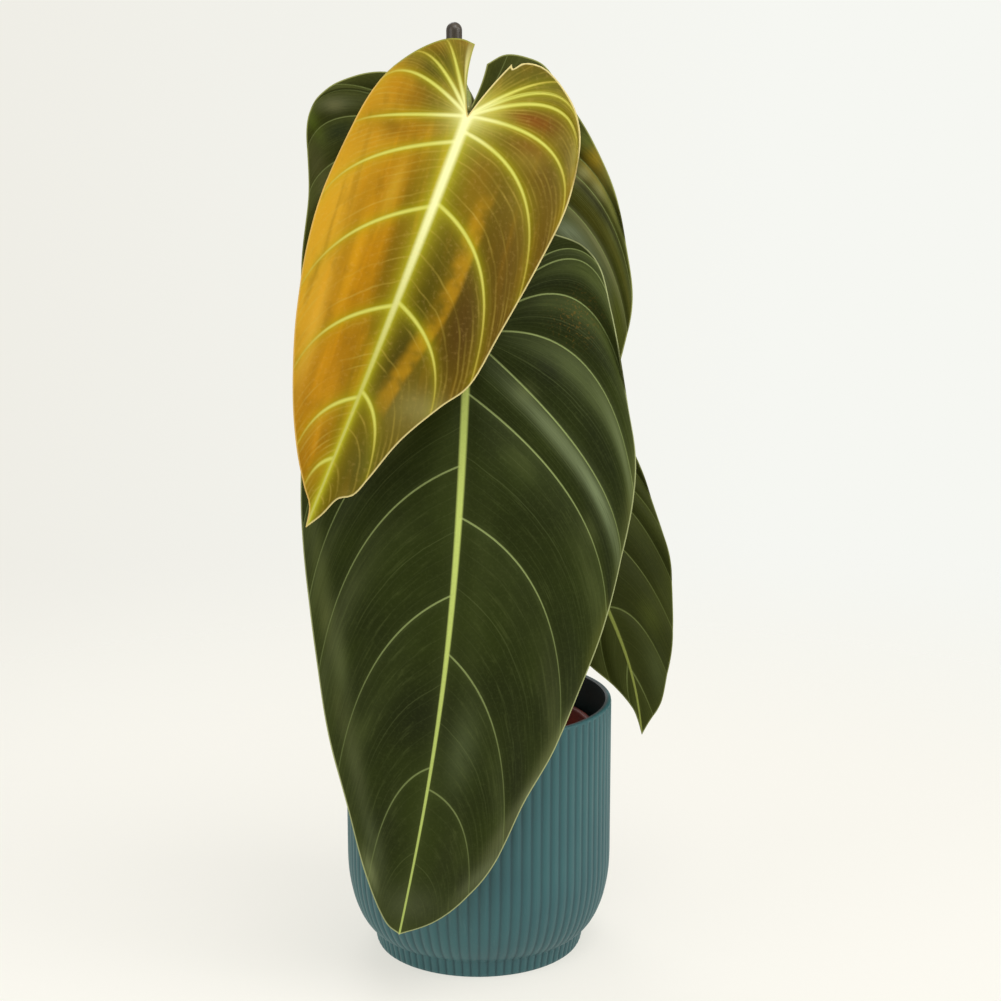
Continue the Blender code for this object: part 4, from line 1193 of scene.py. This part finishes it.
def youngTop():
    p = youngPaint
    look = BladeFinish("youngBladeFace")
    down, rib, outward, reach, hub = look.down, look.rib, look.outward, look.reach, look.hub
    grain = look.noise(520.0)
    # left half painted brighter and right half darker: partly the leaf's own colour, partly painted light
    # through the left half and painted shade on the right
    leftTone = look.mix(look.ramp(rib, 3.0, 14.0), p["leftInner"], p["leftMiddle"])
    leftTone = look.mix(look.ramp(rib, 18.0, 44.0), leftTone, p["leftOuter"])
    rightTone = look.mix(look.ramp(rib, 12.0, 46.0), p["rightInner"], p["rightOuter"])
    look.start(outward, -1.0, 1.0, leftTone, rightTone)
    # soft lengthwise stripes, stronger on the left
    slanted = look.plus(outward, look.times(down, -0.10))
    stripes = look.noise(1.0, 2.0, at=look.vector(look.times(slanted, 0.16), look.times(down, 0.014)))
    onLeft = look.ramp(outward, 6.0, -6.0, 0.2, 1.0)
    look.over(p["stripeDark"], look.ramp(stripes, 0.50, 0.32), onLeft, 0.45)
    look.over(p["stripeLight"], look.ramp(stripes, 0.52, 0.70), onLeft, 0.45)
    # patches of the leaf's own colour, painted sheen and painted shade
    for patch in p["patches"]:
        look.patch(*patch)
    # the orange streak down the right half: soft towards the rib, sharp on its outer side
    centre = look.ramp(down, 70.0, 140.0, 21.5, 10.5)
    aside = look.plus(outward, look.times(centre, -1.0))
    look.over(p["streak"], look.ramp(aside, -6.5, -1.0), look.ramp(aside, 4.6, 1.8),
              look.ramp(down, 22.0, 44.0), look.ramp(down, 146.0, 118.0),
              look.ramp(look.clouds(0.09), 0.2, 0.6), 0.7)
    mottle = look.noise(0.16, at=look.vector(outward, look.times(down, 0.5)))
    look.over(p["mottle"], look.ramp(mottle, 0.5, 0.75), 0.22)
    # green-yellow light round the veins, then the veins themselves
    look.over(p["glow"], look.fade(look.vein, 1.9), look.ramp(reach, 0.2, 0.95, 1.0, 0.35), 0.85)
    look.over(p["glow"], look.fade(rib, look.ramp(down, 0.0, 140.0, 4.8, 2.0)),
              look.ramp(down, -6.0, 0.0), 0.95)
    look.over(p["glow"], look.fade(hub, 7.0), 0.9)
    look.over(p["lobeGlow"], look.hump(outward, 8.0, 8.0), look.hump(down, -6.0, 9.0), 0.55)
    look.over(p["ribGlow"], look.fade(rib, look.ramp(down, 0.0, 130.0, 2.4, 0.9)),
              look.ramp(down, -4.0, 2.0), 0.95)
    strength = look.plus(look.times(look.ramp(look.clouds(0.06), 0.35, 0.7), 0.22),
                         look.times(look.fade(rib, 12.0), 0.18))
    fine = look.lines(8.0, 0.75, 0.12)
    patchy = look.noise(1.0, 2.0, at=look.vector(look.times(look.number, 7.0), look.times(reach, 1.5)))
    look.over(p["fine"], fine, look.ramp(patchy, 0.40, 0.62), look.plus(0.10, strength), 0.85)
    veinTone = look.mix(look.ramp(reach, 0.3, 0.95), p["vein"], p["veinEnd"])
    veinTone = look.mix(look.ramp(hub, 22.0, 6.0), veinTone, p["veinStart"])
    veinCore = look.core(look.vein, look.ramp(reach, 0.0, 0.95, 0.82, 0.36), 1.7, 0.1)
    look.over(veinTone, veinCore, look.ramp(reach, 0.5, 1.0, 0.92, 0.5))
    # paler along the left lobe's inner edge, where the real leaf is turned over
    look.over(p["folded"], look.ramp(look.number, 0.26, 0.12), look.hump(reach, 0.62, 0.34),
              look.ramp(outward, 0.5, -0.5), 0.8)
    ribTone = look.mix(look.ramp(down, 30.0, 130.0), p["ribTop"], p["ribTip"])
    ribCore = look.core(rib, look.ramp(down, 0.0, 175.0, 2.3, 0.5), 1.5, 0.25)
    look.over(ribTone, ribCore, look.ramp(down, -2.0, 1.0), 0.96)
    look.over(p["ribTop"], look.fade(hub, 4.0), 0.95)
    marginTone = look.mix(look.ramp(outward, -2.0, 2.0), p["marginLeft"], p["margin"])
    onLeftLobe = look.times(look.ramp(down, 6.0, -12.0), look.ramp(outward, 2.0, -2.0))
    marginTone = look.mix(onLeftLobe, marginTone, p["marginLobe"])
    look.over(marginTone, look.ramp(look.edge, 0.9, 0.35), 0.9)
    look.over(p["grain"], look.ramp(grain, 0.5, 0.8), 0.08)
    return look.done(0.5, look.plus(look.times(fine, -0.5), look.times(grain, 0.15)), 0.00015, 0.5,
                     Sheen_Weight=0.03, Sheen_Roughness=0.4, Sheen_Tint=(1.0, 0.85, 0.4),
                     Specular_IOR_Level=0.07)


# band sets how strong the painted light under each panel's upper vein is
darkPaints = {
    "leaf_front": {
        "base": (43, 52, 13), "shade": (34, 41, 9), "light": (92, 102, 54), "margin": (76, 84, 36),
        "vein": (146, 160, 98), "rib": (196, 212, 112), "ribTip": (172, 188, 100),
        "edgeLine": (176, 182, 128), "veinEnd": 0.5, "band": 0.32,
        "rust": ((112, 84, 26), (51, -12), (11, 11)),
        # these patches, like the other leaves' below, are partly the leaf's own colour, partly painted light
        # and sheen (the pale, gold and grey-green ones) and painted shade (the darkest ones)
        "patches": [
            ((62, 70, 32), (12, 120), (6, 60), 0.3), ((60, 70, 28), (-9, 48), (6, 40), 0.5),
            ((30, 36, 8), (34, 132), (10, 26), 0.5), ((26, 31, 8), (52, 156), (7, 28), 0.7),
            ((86, 96, 60), (13, 196), (7, 20), 0.5), ((106, 112, 62), (85, 85), (4, 34), 0.8),
            ((104, 108, 48), (77, 130), (4, 24), 0.7, 0.25),
            ((84, 92, 48), (-65, 112), (4, 30), 0.7, -0.2),
            ((94, 100, 54), (-57, 144), (4, 14), 0.6, -0.25),
            ((86, 94, 54), (-50, 160), (4, 26), 0.7, -0.25),
            ((82, 88, 46), (-46, 186), (4, 14), 0.6, -0.3),
            ((80, 86, 52), (-35, 212), (4, 20), 0.55, -0.35), ((28, 33, 10), (-18, 238), (6, 12), 0.6),
            ((78, 86, 54), (-21, 248), (4, 18), 0.6, -0.4),
            ((116, 124, 82), (-20, 263), (3, 10), 0.75, -0.4),
            ((140, 146, 96), (66, 181), (5, 20), 0.95, 0.45),
            ((132, 138, 98), (53, 216), (4.5, 18), 0.85, 0.45),
            ((86, 90, 56), (41, 240), (5, 14), 0.6, 0.5), ((30, 34, 12), (26, 264), (6, 10), 0.7),
            ((36, 40, 16), (15, 252), (6, 16), 0.5), ((96, 102, 70), (36, 258), (5, 16), 0.8, 0.6),
            ((74, 80, 52), (2, 278), (14, 10), 0.6), ((28, 33, 10), (-9, 180), (14, 14), 0.8),
            ((20, 24, 6), (41, 11), (7, 7), 0.85), ((34, 40, 12), (52, 18), (6, 8), 0.5),
            ((30, 34, 12), (64, 58), (7, 9), 0.5), ((84, 92, 50), (65, 86), (6, 9), 0.4),
            ((106, 114, 66), (28, 24), (6, 5), 0.35), ((64, 72, 28), (52, -18), (6, 8), 0.4),
            ((32, 36, 10), (28, -18), (6, 8), 0.5), ((32, 38, 14), (56, 176), (9, 36), 0.5, 0.3),
        ],
        # the streaks, here and on the rear leaf, are mostly painted sheen beside each upper vein and painted
        # shade towards the lower one, with some of the leaf's own olive
        "streaks": [   # colour, place (vein number, share of the way out), size, strength, side
            ((118, 130, 92), (5.23, 0.62), (0.18, 0.24), 0.9),
            ((104, 114, 78), (5.26, 0.34), (0.2, 0.18), 0.8),
            ((98, 108, 72), (5.14, 0.86), (0.1, 0.16), 0.7),
            ((30, 36, 12), (5.62, 0.72), (0.16, 0.26), 0.7),
            ((26, 30, 12), (5.8, 0.92), (0.13, 0.12), 0.8),
            ((104, 114, 74), (4.15, 0.8), (0.15, 0.24), 0.85),
            ((80, 90, 50), (4.18, 0.46), (0.18, 0.22), 0.75),
            ((30, 36, 12), (4.62, 0.66), (0.24, 0.34), 0.75),
            ((62, 72, 30), (3.16, 0.62), (0.14, 0.3), 0.5), ((28, 34, 8), (3.6, 0.4), (0.25, 0.25), 0.6),
            ((28, 34, 8), (2.6, 0.45), (0.25, 0.25), 0.8), ((66, 76, 26), (2.2, 0.66), (0.2, 0.22), 0.5),
            ((66, 74, 36), (6.2, 0.8), (0.14, 0.25), 0.5), ((36, 42, 16), (6.75, 0.85), (0.16, 0.25), 0.5),
            ((72, 78, 42), (7.15, 0.88), (0.12, 0.22), 0.5),
            ((34, 38, 18), (7.75, 0.8), (0.18, 0.25), 0.5),
            ((66, 72, 40), (7.15, 0.8), (0.14, 0.25), 0.5, -1),
            ((40, 45, 20), (7.8, 0.75), (0.18, 0.25), 0.4, -1),
        ],
    },
    "leaf_rear": {
        "base": (54, 60, 14), "shade": (44, 48, 8), "light": (98, 104, 52), "margin": (84, 88, 28),
        "vein": (124, 134, 78), "rib": (146, 158, 86), "ribTip": (136, 148, 78),
        "edgeLine": (158, 162, 96), "veinEnd": 0.8, "band": 0.25,
        "patches": [
            ((140, 118, 22), (70, 16), (6, 9), 0.9), ((150, 136, 56), (75, 27), (3.5, 7), 0.8, -0.3),
            ((144, 142, 88), (64, 22), (4.5, 4), 0.8), ((138, 138, 84), (72, 31), (4, 6), 0.7, -0.5),
            ((78, 86, 24), (68, 5), (5, 5), 0.8), ((84, 88, 40), (79, 48), (3, 14), 0.6),
            ((110, 112, 48), (79, 36), (3.5, 14), 0.75, -0.2),
            ((72, 72, 14), (68, 45), (6, 12), 0.8, -0.6), ((112, 122, 92), (57, 49), (6, 7), 0.9, -0.8),
            ((106, 114, 84), (68, 65), (5, 13), 0.9, -0.45), ((86, 92, 52), (76, 88), (4, 16), 0.7, -0.2),
            ((70, 76, 10), (82, 90), (3, 26), 0.7), ((84, 88, 56), (-56, -19), (11, 4), 0.8),
            ((112, 112, 72), (-57, -18), (5, 3), 0.6), ((34, 42, 16), (-55, -6), (8, 5), 0.85, 0.3),
            ((76, 76, 38), (-65, 15), (6, 16), 0.7, -0.3),
            ((80, 94, 26), (-70, -14), (3.5, 12), 0.8, -0.4),
        ],
        "streaks": [
            ((32, 32, 6), (4.14, 0.66), (0.13, 0.34), 0.9), ((78, 76, 16), (4.5, 0.8), (0.14, 0.34), 0.7),
            ((66, 64, 12), (4.72, 0.55), (0.12, 0.3), 0.6),
            ((114, 116, 74), (5.0, 0.66), (0.11, 0.26), 0.85),
        ],
    },
    "leaf_side": {
        "base": (50, 56, 16), "shade": (42, 47, 12), "light": (76, 82, 34), "margin": (68, 74, 26),
        "vein": (104, 114, 62), "rib": (126, 138, 66), "ribTip": (134, 142, 68),
        "edgeLine": (124, 130, 74), "veinEnd": 0.9, "band": 0.2,
        "patches": [
            ((68, 76, 40), (15, 138), (6, 16), 0.6), ((78, 86, 34), (19, 110), (5, 10), 0.4),
            ((40, 44, 14), (26, 125), (5, 16), 0.5, 0.2), ((66, 72, 24), (36, 118), (4, 18), 0.5, 0.5),
        ],
    },
}


def darkTop(node):
    p = darkPaints[node]
    length = blades[node]["length"]
    look = BladeFinish("darkBladeFace" + node.split("_")[1].capitalize())
    down, rib, reach = look.down, look.rib, look.reach
    grain = look.noise(700.0, 4.0, 0.6)
    nap = look.nap(26.0)
    look.start(look.noise(26.0), 0.3, 0.7, p["base"], p["shade"])
    # painted light just under each panel's upper vein and painted shade towards its lower one, where the
    # quilted panel faces up and down
    look.over(p["light"], look.hump(look.share, 0.20, 0.16), look.ramp(rib, 6.0, 30.0),
              look.ramp(look.clouds(0.02), 0.3, 0.7), p["band"])
    look.over(p["shade"], look.ramp(look.share, 0.6, 0.98), 0.3)
    # lighter olive towards the margin: partly the leaf's own colour, partly painted sheen
    look.over(p["margin"], look.fade(look.edge, 4.0), 0.35)
    # patches of the leaf's own colour, painted sheen and painted shade
    for patch in p["patches"]:
        look.patch(*patch)
    # painted sheen and painted shade beside the veins
    for streak in p.get("streaks", []):
        look.streak(*streak)
    offRib = look.ramp(rib, 2.0, 16.0)
    look.over(p["light"], look.ramp(nap, 0.52, 0.78), offRib, 0.22)
    look.over(p["shade"], look.ramp(nap, 0.50, 0.25), offRib, 0.35)
    look.over(p["light"], look.fade(rib, 2.6), 0.25)
    middle, fine = look.lines(2.0, 0.42), look.lines(9.0, 0.34)
    look.over(p["vein"], middle, look.ramp(reach, 1.0, 0.3), 0.09)
    look.over(p["vein"], fine, 0.03)
    if "rust" in p:
        colour, place, size = p["rust"]
        look.over(colour, look.ramp(look.noise(950.0, 2.0), 0.56, 0.68),
                  look.hump(look.outward, place[0], size[0]), look.hump(down, place[1], size[1]), 0.6)
    look.over(p["light"], look.fade(look.vein, 1.1), 0.20)
    look.over(p["vein"], look.core(look.vein, look.ramp(reach, 0.0, 0.9, 0.50, 0.26)),
              look.ramp(reach, 0.3, 1.0, 0.9, 0.4),
              look.ramp(down, 0.2 * length, 0.75 * length, 1.0, p["veinEnd"]))
    ribTone = look.mix(look.ramp(down, 0.0, length), p["rib"], p["ribTip"])
    look.over(ribTone, look.core(rib, look.ramp(down, 0.0, length, 2.0, 0.55)), look.ramp(down, -2.0, 1.0))
    look.over(p["rib"], look.fade(look.hub, 3.5), 0.9)
    look.over(p["edgeLine"], look.ramp(look.edge, 0.8, 0.3), 0.8)
    look.over(p["light"], look.ramp(grain, 0.45, 0.8), 0.12)
    ridges = look.plus(look.times(middle, -0.4), look.times(fine, -0.3), look.times(grain, 0.35),
                       look.times(nap, 0.5))
    return look.done(0.52, ridges, 0.00022, 0.6, Sheen_Weight=0.05, Sheen_Roughness=0.35,
                     Sheen_Tint=(0.85, 1.0, 0.5), Specular_IOR_Level=0.07)


def underSide(name, base, shade, blush, line):
    look = BladeFinish(name)
    look.start(look.noise(40.0), 0.3, 0.7, base, shade)
    look.over(blush, look.ramp(look.share, 0.1, 0.5), 0.3)
    fine, finer = look.lines(7.0, 0.45), look.lines(21.0, 0.26)
    for shares in ((fine, 0.45), (finer, 0.2), (look.ramp(look.vein, 1.5, 0.5), 0.8),
                   (look.ramp(look.rib, 3.0, 1.6), look.ramp(look.down, -2.0, 1.0)),
                   (look.ramp(look.edge, 1.0, 0.3), 0.8)):
        look.over(line, *shares)
    height = look.plus(look.times(fine, 0.6), look.times(finer, 0.4), look.times(look.noise(600.0), 0.3))
    return look.done(0.55, height, 0.0003, 0.7, Specular_IOR_Level=0.25)


def rimPaint(name, colour, shade):
    look = Finish(name)
    look.start(look.noise(300.0), 0.3, 0.7, colour, shade)
    look.feed(look.shader, Base_Color=look.tone, Roughness=0.5)
    return look.material


backs = {      # base, shade, blush and lines of the back, then light and shade of the rim
    "young": ((176, 138, 62), (156, 116, 52), (168, 96, 52), (206, 190, 104),
              (232, 214, 150), (214, 190, 116)),
    "dark": ((104, 112, 62), (88, 94, 50), (118, 86, 58), (142, 148, 88),
             (176, 178, 132), (150, 154, 104)),
}


def backAndRim(kind):
    return [underSide(kind + "BladeBack", *backs[kind][:4]), rimPaint(kind + "BladeRim", *backs[kind][4:])]


youngBack, darkBack = backAndRim("young"), backAndRim("dark")
makeBlade("leaf_young", "young_blade", [youngTop(), *youngBack])
for darkNode in darkPaints:
    makeBlade(darkNode, "dark_blade", [darkTop(darkNode), *darkBack])
